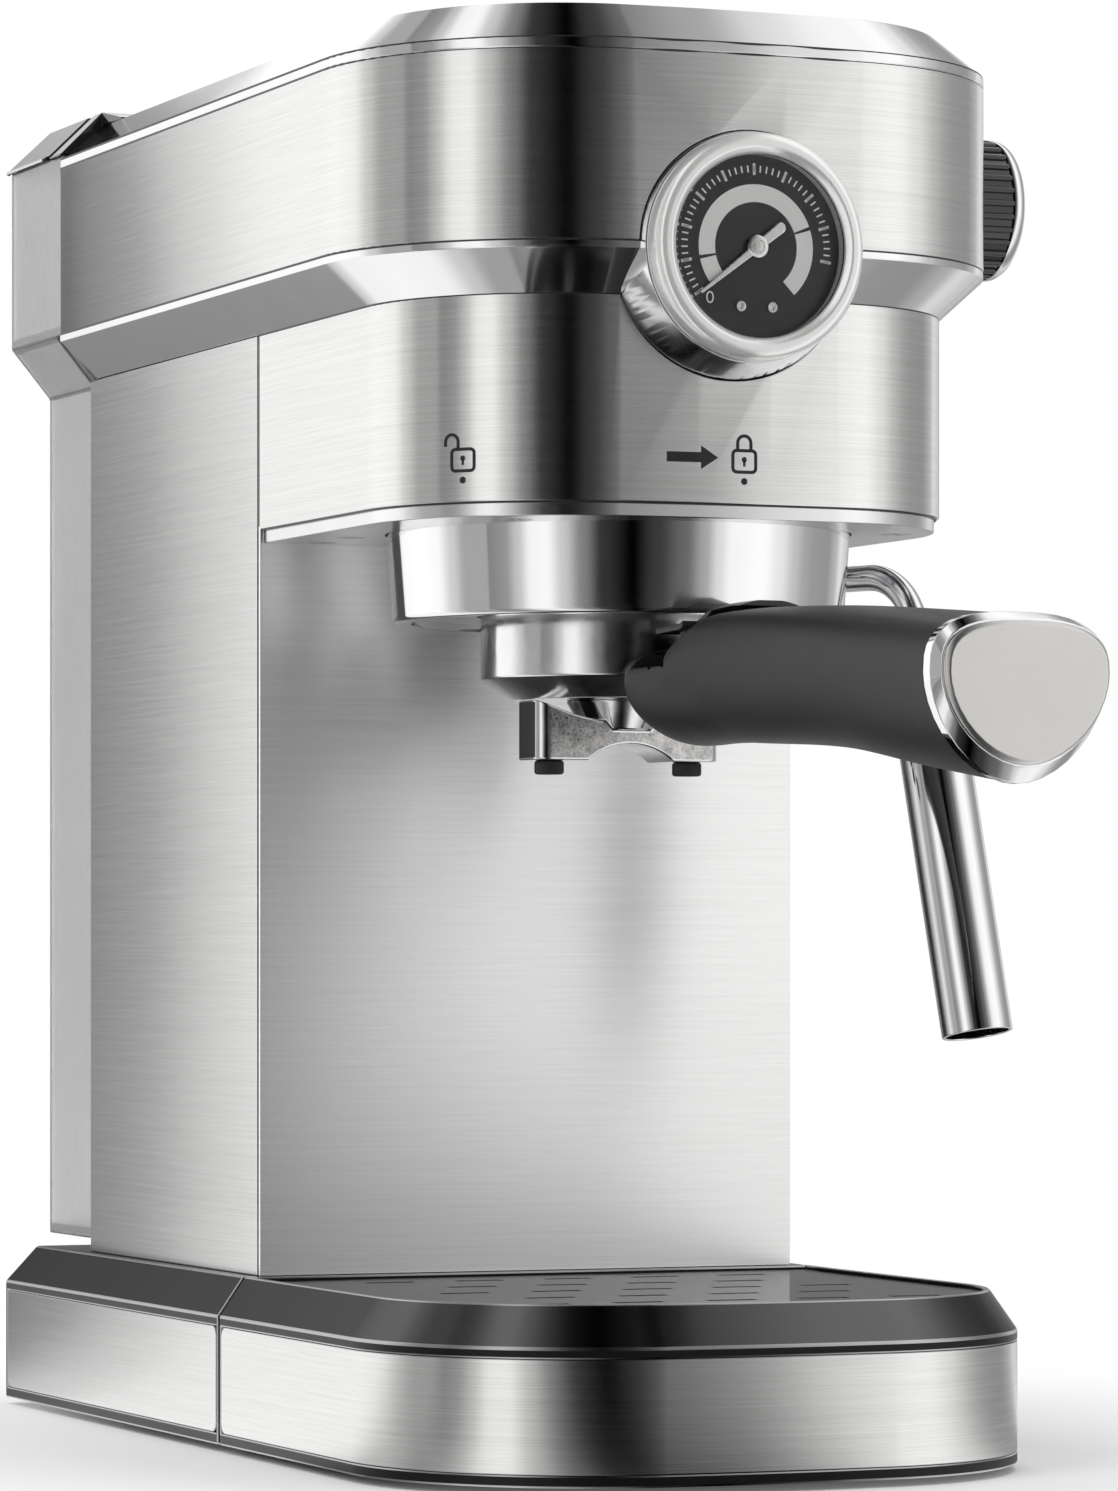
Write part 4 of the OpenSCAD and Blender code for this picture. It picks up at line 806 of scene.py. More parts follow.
class ESPRESSO_OT_head(EspressoStep, bpy.types.Operator):
    """Head: brushed shells, chrome band, top trim and plates"""

    bl_idname = "espresso.head"
    bl_label = "Head"

    def execute(self, context):
        rounded("head_lower_shell", steel_round(), sizes().sheet_edge)
        rounded("head_upper_shell", steel_head(), sizes().sheet_edge)
        rounded("head_top_trim", chrome_trim(), sizes().sheet_edge, angle=20,
                edge_material=chrome(), patch=(chrome(), upright))
        rounded("head_underside_plate", satin_chrome(), sizes().sheet_edge)
        rounded("head_back_panel", satin_black(), sizes().small_edge)
        rounded("cup_plate", steel_across(), sizes().small_edge)
        rounded("control_panel", gloss_black(), sizes().small_edge)
        paint("switch_board", board_green())
        self.band()
        low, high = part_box("head_upper_shell")
        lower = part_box("head_lower_shell")
        step = high.x - lower[1].x
        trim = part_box("head_top_trim")
        # Black rings in the grooves between the sheets: painted shade
        for name, inset, z, back in (
                ("seam_over_band", 0, low.z, high.y), ("seam_under_trim", 0, high.z, high.y),
                ("seam_in_trim", 0, trim[0].z + 2.1 * MM, high.y),
                ("seam_under_band", step, lower[1].z, 0),
                ("seam_under_head", step + 0.5 * MM, lower[0].z, 0)):
            painted_shade_seam(name, inset, z, back)
        return {"FINISHED"}

    @staticmethod
    def band():
        """Chrome band that leans out from the lower shell to a lip under the upper one"""
        low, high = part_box("head_band")
        step, wall = high.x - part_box("head_lower_shell")[1].x, 2.4 * MM
        lip = high.z - 1.7 * MM
        profile = [(step + 0.3 * MM, low.z), (step - 0.2 * MM, low.z + 0.15 * MM),
                   (0.5 * MM, lip - 0.35 * MM), (0.12 * MM, lip), (0, lip + 0.4 * MM),
                   (0, high.z - 0.3 * MM), (0.3 * MM, high.z), (wall, high.z), (step + wall, low.z)]
        piece = swept("band_with_lip", profile, high.y)
        radius, ahead = size("gauge_cowling").x / 2 + 0.1 * MM, 10 * MM
        slim = radius - 2.5 * MM
        out = local_frame((GAUGE.x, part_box("gauge_cowling")[0].y - ahead, GAUGE.z),
                          (1, 0, 0), (0, 1, 0))
        room = [(slim, 0), (slim, ahead + 0.3 * MM), (radius, ahead + 10.5 * MM), (radius, 60 * MM)]
        cut(piece, [lathe("room_for_gauge", room, out, 96)])
        smooth(piece, 25)
        dress(piece, chrome(), "machine", "head_band")


def shell_outline(half, front, corner, bow):
    """Place on the lower head's round front: u is the way along it from the middle, v the height"""
    lift = bow - math.sqrt((bow - corner) ** 2 - (half - corner) ** 2)
    turn = math.asin((half - corner) / (bow - corner))

    def surface(u, v, out):
        side = 1 if u >= 0 else -1
        if abs(u) <= bow * turn:
            a = abs(u) / bow
            x, y, r = 0.0, bow - front, bow
        else:
            a = turn + (abs(u) - bow * turn) / corner
            x, y, r = half - corner, lift - front, corner
        return Vector((side * (x + (r + out) * math.sin(a)), y - (r + out) * math.cos(a), v))
    return surface


def padlock(centre, width, closed):
    """Outline padlock with a keyhole, above a dot"""
    u, v = centre
    wide, high, stroke, corner = width * 0.5, width * 0.43, width * 0.13, width * 0.16
    body = [p for k, (across, up) in enumerate(((1, 1), (-1, 1), (-1, -1), (1, -1)))
            for p in arc((u + across * (wide - corner), v + up * (high - corner)), corner,
                         90 * k, 90 * k + 90, 20)]
    body = path(body + body[:1], 0.4 * MM)
    r, top = wide * 0.58, v + high
    middle_u = u if closed else u - wide
    left, right, legs = middle_u - r, middle_u + r, top + width * 0.30
    shackle = line((left, top if closed else top + width * 0.12), (left, legs)) + \
        arc((middle_u, legs), r, 180, 0, 15) + line((right, legs), (right, top))
    keyhole = line((u, v + width * 0.02), (u, v - width * 0.2))
    spot = arc((u, v + width * 0.07), width * 0.055, 0, 360, 30)
    dot = arc((u, v - width * 0.80), width * 0.07, 0, 360, 30)
    return [(body, stroke), (shackle, stroke), (keyhole, width * 0.1), (spot, width * 0.11),
            (dot, width * 0.14)]


class ESPRESSO_OT_lock_marks(EspressoStep, bpy.types.Operator):
    """Open lock, arrow and closed lock, printed on the head"""

    bl_idname = "espresso.lock_marks"
    bl_label = "Lock marks"

    along = "Way along the shell, and height"
    open_place: shell_place("Open lock", along, (-0.0583, 0.2116))
    closed_place: shell_place("Closed lock", along, (0.0027, 0.2118))
    arrow: shell_place("Arrow", "Its two ends along the shell, and its height",
                       (-0.0147, -0.0033, 0.2124))
    arrow_head: shell_place("Arrow head", "Its length and width", (0.0038, 0.0048))
    arrow_shaft: length("Arrow shaft", "Its width", 0.0021)
    CORNER, BOW = 0.0435, 0.2905             # radii of the lower shell's corners and its front

    @staticmethod
    def on_shell(arcs):
        """The arcs' places, moved onto the shell's real faces"""
        bm = bmesh.new()
        bm.from_mesh(frame["nodes"]["head_lower_shell"].data)
        faces = BVHTree.FromBMesh(bm)
        bm.free()

        def surface(u, v):
            inner, outer = arcs(u, v, 0.0), arcs(u, v, 5 * MM)
            hit = faces.ray_cast(outer, inner - outer)[0]
            if hit is None:
                raise RuntimeError("a lock mark misses the shell")
            return hit + (outer - inner).normalized() * 0.03 * MM
        return surface

    def execute(self, context):
        low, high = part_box("head_lower_shell")
        surface = self.on_shell(shell_outline(high.x, -low.y, self.CORNER, self.BOW))
        start, end, height = self.arrow
        long, wide = self.arrow_head
        head = end - long
        bands = padlock(self.open_place, sizes().lock_width, False) + \
            padlock(self.closed_place, sizes().lock_width, True)
        bands.append((line((start, height), (head, height)), self.arrow_shaft))
        tip = line((head, height), (end, height), 0.3 * MM)
        steps = len(tip) - 1
        bands.append((tip, [wide * (1 - k / steps) + 0.05 * MM for k in range(steps + 1)]))
        printed("lock_marks", bands, surface, dark_print(), "machine",
                lambda p: Vector((p.x, p.y + 0.06, 0)))
        return {"FINISHED"}


class ESPRESSO_OT_buttons(EspressoStep, bpy.types.Operator):
    """Three push buttons with printed signs"""

    bl_idname = "espresso.buttons"
    bl_label = "Buttons"

    def execute(self, context):
        for node in ("power_button", "coffee_button", "steam_button"):
            rounded(node, button_silver(), sizes().moulded_edge)
            centre = middle(node)
            at = local_frame((centre.x, centre.y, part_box(node)[1].z), (1, 0, 0), UP)
            printed(f"{node}_sign", self.sign(node), lambda u, v, m=at: m @ Vector((u, v, PROUD)),
                    dark_print(), body_of(node), lambda p: UP)
        return {"FINISHED"}

    @staticmethod
    def sign(node):
        """Bands of the button's sign: a switch, a cup or three wisps of steam"""
        stroke = 0.55 * MM
        if node == "power_button":
            return [(arc((0, 0), 0.0032, 125, 415), stroke),
                    (line((0, 0.0012), (0, 0.0044)), stroke)]
        if node == "coffee_button":
            cup = path([(-0.003, 0.0012), (-0.0024, -0.0022), (0.0016, -0.0022), (0.0022, 0.0012),
                        (-0.003, 0.0012)])
            return [(cup, stroke), (arc((0.0022, -0.0003), 0.0013, -75, 80), stroke),
                    (line((-0.0032, -0.0036), (0.0026, -0.0036)), stroke)]
        wave, rise = 0.6 * MM, 0.5 * MM
        return [([(x + wave * math.sin(k / 2.2), -0.0032 + rise * k) for k in range(14)], stroke)
                for x in (-0.0022, 0.0, 0.0022)]


class ESPRESSO_OT_gauge(EspressoStep, bpy.types.Operator):
    """Gauge: cowling, bezel, dial with its ticks and arcs, needle and lens"""

    bl_idname = "espresso.gauge"
    bl_label = "Gauge"

    def execute(self, context):
        rounded("gauge_cowling", chrome(), sizes().turned_edge)
        rounded("gauge_bezel", bright_satin(), sizes().turned_edge, angle=25)
        rounded("gauge_dial", dial_face())
        rounded("gauge_lens", lens_glass())
        radius = size("gauge_dial").x / 2
        at = local_frame((GAUGE.x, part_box("gauge_dial")[0].y, GAUGE.z), (1, 0, 0), FRONT)
        self.ticks(at, radius)
        self.arcs(at, radius)
        self.needle(radius)
        return {"FINISHED"}

    @staticmethod
    def ticks(at, radius):
        """Long ticks and four short ones in each gap; their ends are parts of the dial's radius"""
        long_ticks = sizes().major_ticks
        for name, inner, outer, wide, count, part in (
                ("dial_long_ticks", 0.785, 0.912, 0.0006, long_ticks, 1),
                ("dial_short_ticks", 0.815, 0.89, 0.00032, (long_ticks - 1) * 5 + 1, 5)):
            item = box_piece("tick", (-wide / 2, inner * radius, PROUD),
                             (wide / 2, outer * radius, sizes().print_thickness))
            turn = (0, 0, -sizes().tick_step / part)
            made = repeated(name, "ring", item, count, turn, (0, 0, -sizes().first_tick),
                            light_print(), at)
            finish(made, "machine")

    @staticmethod
    def arcs(at, radius):
        """Three arcs of one ring, and the figure 0 before the first tick"""
        ring, width = 0.587 * radius, 0.194 * radius
        bands = [(arc((0, 0), ring, 90 - a, 90 - b, 3), width)
                 for a, b in ((-126, -103), (-100, 69), (72, 138))]
        place_0, at_0 = 0.79 * radius, math.radians(-136)
        wide, high = 0.7 * MM, 1.1 * MM
        bands.append(([(place_0 * math.sin(at_0) + wide * math.cos(t),
                        place_0 * math.cos(at_0) + high * math.sin(t))
                       for t in (2 * math.pi * k / 24 for k in range(25))], 0.3 * MM))
        printed("dial_arcs", bands, lambda u, v: at @ Vector((u, v, PROUD)), light_print(),
                "machine", lambda p: FRONT)

    @staticmethod
    def needle(radius):
        """Pointer that narrows to its tip, and a stepped hub; sizes of the outlines in mm"""
        turn = sizes().needle_turn
        way = Vector((math.sin(turn), 0, math.cos(turn)))
        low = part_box("gauge_needle")[0]
        at = local_frame((GAUGE.x, low.y + 0.75 * MM, GAUGE.z), way.cross(FRONT), FRONT)
        tip, tail, r, thick = 0.85 * radius, 0.4 * radius - MM, 1.15 * MM, 0.35 * MM
        round_end = [math.pi * k / 12 for k in range(1, 12)]
        outline = [(0.3 * MM, tip), (r, -tail)] + \
            [(r * math.cos(a), -tail - r * math.sin(a)) for a in round_end] + \
            [(-r, -tail), (-0.3 * MM, tip)]
        flip = 1 if (at.to_3x3() @ Vector((0, 1, 0))).dot(way) > 0 else -1
        layers = ((0, 1, 1), (thick * 0.7, 1, 1), (thick, 0.8, 0.99))
        pointer = place(loft("pointer", [[(x * s, flip * y * t, z) for x, y in outline]
                                         for z, s, t in layers]), at)
        steps = [(0, -0.2), (2.3, -0.2), (2.3, 0.45), (2.05, 0.6), (1.4, 0.6), (1.35, 0.45),
                 (1.2, 0.45), (1.15, 0.68), (0.4, 0.72), (0.35, 0.6), (0, 0.6)]
        hub = lathe("hub", [(across * MM, out * MM) for across, out in steps], at, 64)
        piece = joined("gauge_pointer", [pointer, hub])
        smooth(piece, 35)
        dress(piece, needle_metal(), "needle", "gauge_needle")


class ESPRESSO_OT_brew_group(EspressoStep, bpy.types.Operator):
    """Chrome collar, group head and what is inside them"""

    bl_idname = "espresso.brew_group"
    bl_label = "Brew group"

    def execute(self, context):
        self.collar()
        rounded("group_head", bare_metal(), sizes().small_edge)
        rounded("group_gasket", red_silicone(), sizes().small_edge)
        rounded("shower_screen", screw_steel())
        rounded("shower_screw", screw_steel())
        for node, material in (("boiler", bare_metal()), ("thermostats", ceramic()),
                               ("copper_tubes", copper()), ("steam_valve", brass())):
            paint(node, material)
        return {"FINISHED"}

    @staticmethod
    def collar():
        """Turned collar with a soft lower edge, cut flat where it meets the column"""
        low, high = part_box("group_collar")
        wide, bore, wall, floor = high.x, 44.8 * MM, 2 * MM, low.z + 2.4 * MM
        slim = wide - 1.5 * MM
        lip = ((1.0, 0), (0.6, 0.1), (0.25, 0.35), (0.06, 0.7), (0, 1.1))    # in and up, in mm
        profile = [(bore, low.z)] + [(slim - i * MM, low.z + up * MM) for i, up in lip] + \
            [(wide - 0.02 * MM, high.z - 0.4 * MM), (wide - 0.2 * MM, high.z),
             (wide - wall, high.z), (wide - wall, floor), (bore, floor), (bore, low.z)]
        axis = Matrix.Translation((BREW_AXIS.x, BREW_AXIS.y, 0))
        piece = lathe("collar_turned", profile, axis, 192)
        cut(piece, [box_piece("behind", (-0.1, high.y, low.z - 0.01), (0.1, 0.1, high.z + 0.01))])
        smooth(piece, 35)
        dress(piece, chrome(), "machine", "group_collar")


HANDLE_STATIONS = (
    # way from the brew axis, half width, underside and top below the collar's lower edge, all in mm
    (32.6, 9.5, 21.5, 12.5), (32.8, 13, 23.8, 10.4), (34.2, 16.7, 26.3, 7.9), (37.8, 18.1, 27.4, 7),
    (50, 17.7, 27.3, 5.4), (56, 17.4, 27.3, 2.2), (62, 17.1, 27.5, 0.1), (100, 17.1, 29.6, 0.8),
    (132, 18.6, 34.2, 3), (160.5, 19.8, 38, 5.4))
COLLAR_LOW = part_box("group_collar")[0].z
WAIST = 0.36


def handle_matrix():
    """Frame of the filter holder: X along the handle, Z up, at the brew axis"""
    way = Vector((math.sin(HANDLE_TURN), -math.cos(HANDLE_TURN), 0))
    return local_frame((BREW_AXIS.x, BREW_AXIS.y, 0), way, UP)


def handle_section(along, half, low, top, count=96):
    """Rounded outline of the handle, flatter above than below"""
    high = top - low
    ring = []
    for k in range(count):
        a = 2 * math.pi * k / count
        c, s = math.cos(a), math.sin(a)
        power = 2 / (2.8 if s > 0 else 1.8)
        part = WAIST if s > 0 else 1 - WAIST
        ring.append((along, half * math.copysign(abs(c) ** power, c),
                     top - WAIST * high + part * high * math.copysign(abs(s) ** power, s)))
    return ring


def between_stations(s):
    """Smooth values of the stations at the way s (mm)"""
    rows = HANDLE_STATIONS
    k = max(0, min(len(rows) - 2, sum(1 for r in rows if r[0] <= s) - 1))
    a, b = rows[k], rows[k + 1]
    before, after = rows[max(k - 1, 0)], rows[min(k + 2, len(rows) - 1)]
    t = (s - a[0]) / (b[0] - a[0])
    out = []
    for i in (1, 2, 3):
        span = b[0] - a[0]
        m0 = (b[i] - before[i]) / (b[0] - before[0]) * span
        m1 = (after[i] - a[i]) / (after[0] - a[0]) * span
        out.append((2 * t ** 3 - 3 * t ** 2 + 1) * a[i] + (t ** 3 - 2 * t ** 2 + t) * m0 +
                   (3 * t ** 2 - 2 * t ** 3) * b[i] + (t ** 3 - t ** 2) * m1)
    return out


class ESPRESSO_OT_holder(EspressoStep, bpy.types.Operator):
    """Filter holder with basket, twin spout and feet"""

    bl_idname = "espresso.holder"
    bl_label = "Filter holder"

    def execute(self, context):
        rounded("portafilter_body", polished_cast(), sizes().moulded_edge)
        rounded("filter_basket", screw_steel())
        self.casting()
        rounded("spout_feet", rubber(), sizes().feet_edge, segments=3)
        return {"FINISHED"}

    @staticmethod
    def casting():
        """Twin spout: polished arms with round corners, an arch below, a saddle and a hub above;
        its end faces are darkened with painted shade
        """
        floor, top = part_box("spout_casting")[0].z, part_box("spout_casting")[1].z
        deep, half, r = 6 * MM, 22.3 * MM, sizes().casting_corner
        dip, rise, span = 4.8 * MM, 3.7 * MM, 10.4 * MM
        saddle, arch = (half ** 2 + dip ** 2) / (2 * dip), (span ** 2 + rise ** 2) / (2 * rise)
        over = [half * k / 20 for k in range(20, -21, -1)]
        under = [span * k / 12 for k in range(-12, 13)]
        outline = [(y, top - dip + saddle - math.sqrt(saddle ** 2 - y ** 2)) for y in over]
        outline += [(-half, floor)]
        outline += [(y, floor + rise - arch + math.sqrt(arch ** 2 - y ** 2)) for y in under]
        outline += [(half, floor)]
        piece = loft("twin_spout", [[(x, y, z) for y, z in outline] for x in (-deep, deep)])
        foot = top - 6.4 * MM
        hub = [(0, foot), (7.6 * MM, foot), (11.4 * MM, top), (0, top)]
        cut(piece, [lathe("hub", hub, Matrix.Identity(4), 96)], "UNION")
        corners = []
        for sx, sy in ((1, 1), (-1, 1), (-1, -1), (1, -1)):
            corner = [(deep - r + r * math.cos(a), half - r + r * math.sin(a))
                      for a in (math.pi / 2 * k / 12 for k in range(13))]
            corner += [(deep - r, half + MM), (deep + MM, half + MM), (deep + MM, half - r)]
            corners.append(loft("corner", [[(sx * x, sy * y, z) for x, y in corner]
                                           for z in (floor - MM, top + MM)]))
        cut(piece, corners)
        piece.data.materials.clear()
        for material in (polished_cast(), polished_cast(), cast_metal(), cast_painted_shade()):
            piece.data.materials.append(material)
        bevelled(piece, sizes().casting_edge, 3, 40, 1)
        # front and back faces take the sand cast; the end faces take its darker copy, which is
        # painted shade
        for face in piece.data.polygons:
            if face.material_index != 1 and abs(face.normal.x) > 0.98:
                face.material_index = 2
            elif face.material_index != 1 and abs(face.normal.y) > 0.98:
                face.material_index = 3
        smooth(place(piece, handle_matrix()), 35)
        finish(piece, body_of("spout_casting"), "spout_casting")


class ESPRESSO_OT_handle(EspressoStep, bpy.types.Operator):
    """Handle with its clip, metal ring and pearl cap"""

    bl_idname = "espresso.handle"
    bl_label = "Handle"

    def execute(self, context):
        at = handle_matrix()
        first, last = HANDLE_STATIONS[0][0], HANDLE_STATIONS[-1][0]
        ways = [first, 32.68, 32.8, 33.0, 33.4, 33.9, 34.5, 35.3, 36.4, 37.8]
        ways += [37.8 + (last - 37.8) * k / 90 for k in range(1, 91)]
        rings = []
        for s in ways:
            half, low, top = between_stations(s)
            rings.append([Vector(p) * MM for p in handle_section(s, half, COLLAR_LOW / MM - low,
                                                                 COLLAR_LOW / MM - top)])
        body = place(loft("handle_body", rings), at)
        z_pin, z_floor = COLLAR_LOW - 7.2 * MM, COLLAR_LOW - 11.4 * MM
        rib, s0, s1, pin, tall = 6.3 * MM, 39.0 * MM, 52 * MM, 47.5 * MM, 20 * MM
        room_for_clip = (
            ((s0, -3 * tall, z_floor), (s1, -rib, z_floor + tall)),
            ((s0, rib, z_floor), (s1, 3 * tall, z_floor + tall)),
            ((s0, -tall, z_pin - 1 * MM), (pin - 2.4 * MM, tall, z_pin + tall)),
            ((s0, -tall, z_pin + 1.9 * MM), (s1, tall, z_pin + tall)))
        tools = [box_piece("room", low, high, at) for low, high in room_for_clip]
        along = at @ local_frame((0, 0, middle("handle_bolt").z), (0, 1, 0), (1, 0, 0))
        for hole in (((4.7, 20), (4.7, 62.5)), ((5, 150.5), (5, 175))):      # for neck and ring, mm
            tools.append(lathe("hole", [(r * MM, way * MM) for r, way in hole], along, 48))
        cut(body, tools)
        bevelled(body, sizes().turned_edge, 2, 40)
        smooth(body, 35)
        dress(body, soft_black(), "filter_holder", "portafilter_handle")
        rounded("handle_ring", chrome(), sizes().handle_edge, angle=20)
        rounded("handle_cap", pearl(), sizes().handle_edge, angle=20)
        rounded("handle_bolt", screw_steel())
        rounded("basket_clip", satin_black(), sizes().small_edge)
        return {"FINISHED"}


class ESPRESSO_OT_steam_knob(EspressoStep, bpy.types.Operator):
    """Ribbed steam knob with its chrome cap"""

    bl_idname = "espresso.steam_knob"
    bl_label = "Steam knob"

    def execute(self, context):
        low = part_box("steam_knob")[0]
        radius, deep = size("steam_knob").y / 2, size("steam_knob").x
        at = local_frame((low.x, KNOB.y, KNOB.z), (0, 1, 0), (1, 0, 0))
        core_r, bore, r = radius - 0.8 * MM, 3.1 * MM, 0.78 * MM
        face = deep - 0.2 * MM
        core = lathe("knob_core", [(bore, 0.0), (core_r - 0.4 * MM, 0.0), (core_r, 0.4 * MM),
                                   (core_r, face), (bore, face)], at)
        bar = [(0, 0.1 * MM), (r * 0.7, 0.1 * MM), (r, 0.5 * MM), (r, deep - 0.6 * MM),
               (r * 0.75, deep - 0.15 * MM), (0, deep - 0.1 * MM)]
        item = lathe("rib", bar, Matrix.Translation((radius - r, 0, 0)), 16)
        count = sizes().knob_ribs
        ribs = repeated("knob_ribs", "ring", item, count, (0, 0, 2 * math.pi / count), (0, 0, 0),
                        gloss_black(), at)
        piece = joined("knob_grip", [core, ribs])
        smooth(piece, 40)
        dress(piece, gloss_black(), "knob", "steam_knob")
        rounded("knob_cap", chrome(), angle=35)
        paint("valve_spindle", brass())
        return {"FINISHED"}


class ESPRESSO_OT_wand(EspressoStep, bpy.types.Operator):
    """Steam pipe with its sleeve and swivel nut"""

    bl_idname = "espresso.wand"
    bl_label = "Steam wand"

    def execute(self, context):
        rounded("steam_pipe", chrome(), angle=40)
        rounded("wand_sleeve", chrome(), sizes().turned_edge, angle=40)
        rounded("swivel_nut", satin_chrome(), sizes().turned_edge)
        return {"FINISHED"}


class ESPRESSO_OT_tray(EspressoStep, bpy.types.Operator):
    """Drip tray with its steel front and grid"""

    bl_idname = "espresso.tray"
    bl_label = "Drip tray"

    def execute(self, context):
        # the tray's and its steel front's bevelled edges carry painted light lines
        rounded("drip_tray", base_coat(), sizes().moulded_edge, angle=20,
                edge_material=painted_light_edge(), patch=(strip_black(), upright))
        rounded("tray_front_panel", steel_round(), sizes().small_edge, edge_material=painted_light_edge(),
                fillet=(sizes().inlay_corner, across_sheet))
        rounded("drip_grid", dark_steel(), sizes().small_edge)
        return {"FINISHED"}


class ESPRESSO_OT_tank(EspressoStep, bpy.types.Operator):
    """Water tank with its valve, frame and lid"""

    bl_idname = "espresso.tank"
    bl_label = "Water tank"

    def execute(self, context):
        rounded("water_tank", tank_plastic(), sizes().moulded_edge, edge_material=smoke_plastic())
        rounded("tank_valve", white_plastic(), sizes().small_edge)
        rounded("tank_seat", satin_black(), sizes().small_edge)
        rounded("lid_frame", gloss_black(), sizes().small_edge)
        rounded("tank_lid", smoke_plastic(), sizes().sheet_edge, edge_material=gloss_black())
        self.level_marks()
        return {"FINISHED"}

    @staticmethod
    def level_marks():
        """Row of level marks up the tank's back"""
        low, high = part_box("water_tank")
        half, thin, count, step = 6 * MM, 0.3 * MM, 9, 22 * MM
        item = box_piece("mark", (-half, 0, -thin), (half, 0.05 * MM, thin))
        made = repeated("tank_level_marks", "row", item, count, (0, 0, step),
                        (30 * MM, high.y + PROUD, low.z + 50 * MM), dark_print())
        finish(made, "tank")


class ESPRESSO_OT_studio(EspressoStep, bpy.types.Operator):
    """Pale floor, soft light, world and camera"""

    bl_idname = "espresso.studio"
    bl_label = "Studio"

    def execute(self, context):
        self.floor()
        self.dome()
        self.lamps()
        self.world()
        self.camera()
        context.scene.view_settings.view_transform = "Standard"
        return {"FINISHED"}

    @staticmethod
    def seen(tree):
        """1 for rays that see the backdrop, straight or through glass"""
        path = tree.add("ShaderNodeLightPath")
        return tree.maths("MAXIMUM", path["Is Camera Ray"], path["Is Transmission Ray"])

    def floor(self):
        """Pale floor that fades to plain white round the machine"""
        bm = bmesh.new()
        bmesh.ops.create_circle(bm, cap_ends=True, segments=96, radius=6.0)
        made = from_bmesh("floor", bm)
        material, tree = empty_material("floor_pale")
        far = tree.add("ShaderNodeVectorMath", {0: tree.place()}, operation="LENGTH")["Value"]
        fade = tree.add("ShaderNodeMapRange", {"Value": far, "From Min": 0.08, "From Max": 0.30},
                        interpolation_type="SMOOTHSTEP")["Result"]
        mix = tree.add("ShaderNodeMixShader", {
            0: tree.maths("MULTIPLY", fade, self.seen(tree)),
            1: tree.add("ShaderNodeBsdfDiffuse", {"Color": (*colours().floor, 1)})[0],
            2: tree.add("ShaderNodeEmission", {"Strength": 1.0})[0]})
        tree.add("ShaderNodeOutputMaterial", {"Surface": mix[0]})
        made.data.materials.append(material)

    # light round the object: direction seen from above, in degrees from +X, and brightness
    PANELS = (
        (0, 0.3), (14, 0.28), (24, 0.42), (33, 0.7), (41, 0.58), (55, 0.35), (92, 0.15),
        (100, 0.28), (106, 0.66), (112, 0.93), (130, 0.98), (146, 0.94), (157, 0.6), (166, 0.36),
        (180, 0.22), (190, 0.28), (197, 0.52), (204, 0.88), (212, 0.92), (220, 0.55), (230, 0.2),
        (239, 0.03), (254, 0.0), (266, 0.04), (280, 0.13), (290, 0.36), (297, 0.68), (304, 0.9),
        (322, 0.96), (334, 0.76), (344, 0.5), (352, 0.36))
    BEHIND = math.radians(67.94)                       # way from the front corner to the back

    def dome(self):
        """Soft panels and dark gaps all round and overhead, and their like on the floor"""
        bm = bmesh.new()
        bmesh.ops.create_uvsphere(bm, u_segments=96, v_segments=48, radius=1.8)
        wall = place(from_bmesh("light_panels", bm), Matrix.Translation((0, 0, 0.2)))
        disc = bmesh.new()
        bmesh.ops.create_circle(disc, cap_ends=True, segments=96, radius=1.7)
        mirror_floor = place(from_bmesh("light_floor", disc), Matrix.Translation((0, 0, 0.0006)))
        for piece, centre, strength in ((wall, (0, -0.03, 0.2), 1.2),
                                        (mirror_floor, (0, -0.09, 0.03), 1.1)):
            piece.data.materials.append(self.panel_light(piece.name, centre, strength))
            piece.visible_camera = False
            piece.visible_shadow = False
        mirror_floor.visible_diffuse = False
        mirror_floor.visible_transmission = False

    def panel_light(self, name, centre, strength):
        """Light in upright bands; a leaning wall mirrors the same band as a standing one"""
        material, tree = empty_material(name)
        way = tree.vectors("NORMALIZE", tree.vectors("SUBTRACT", tree.place(), centre))
        behind = (math.cos(self.BEHIND), math.sin(self.BEHIND), 0)
        halfway = tree.add("ShaderNodeSeparateXYZ", {0: tree.vectors("SUBTRACT", way, behind)})
        angle = tree.maths("ARCTAN2", halfway["Y"], halfway["X"])
        turns = tree.maths("MULTIPLY_ADD", angle, 1 / math.pi, 2 - self.BEHIND / (2 * math.pi))
        ramp = tree.add("ShaderNodeValToRGB", {0: tree.maths("FRACT", turns)})["Color"]
        ramp.node.color_ramp.interpolation = "EASE"
        band = ramp.node.color_ramp.elements
        stops = sorted((((a + 180) % 360) / 360, (v, v, v, 1)) for a, v in self.PANELS)
        for end, stop in ((band[0], stops[0]), (band[1], stops[-1])):
            end.position, end.color = stop
        for position, grey in stops[1:-1]:
            band.new(position).color = grey
        glow = tree.add("ShaderNodeEmission", {"Color": ramp, "Strength": strength})[0]
        tree.add("ShaderNodeOutputMaterial", {"Surface": glow})
        return material

    @staticmethod
    def lamps():
        """Large soft lamps that polished faces don't mirror"""
        middle_of_machine = (0, 0, 0.15)
        for name, at, aim, wide, high, power in (
                ("top_softbox", (0, 0, 1.6), (0, 0, 0), 1.6, 1.6, 14),
                ("left_softbox", (-1.4, -0.9, 0.9), middle_of_machine, 0.9, 1.2, 8),
                ("right_softbox", (1.2, -1.3, 0.9), middle_of_machine, 0.9, 1.2, 8)):
            light = bpy.data.lights.new(name, "AREA")
            light.shape = "RECTANGLE"
            light.size, light.size_y = wide, high
            light.energy = power
            lamp = bpy.data.objects.new(name, light)
            lamp.location = at
            lamp.rotation_euler = (Vector(aim) - Vector(at)).to_track_quat("-Z", "Y").to_euler()
            bpy.context.scene.collection.objects.link(lamp)
            lamp.visible_glossy = False

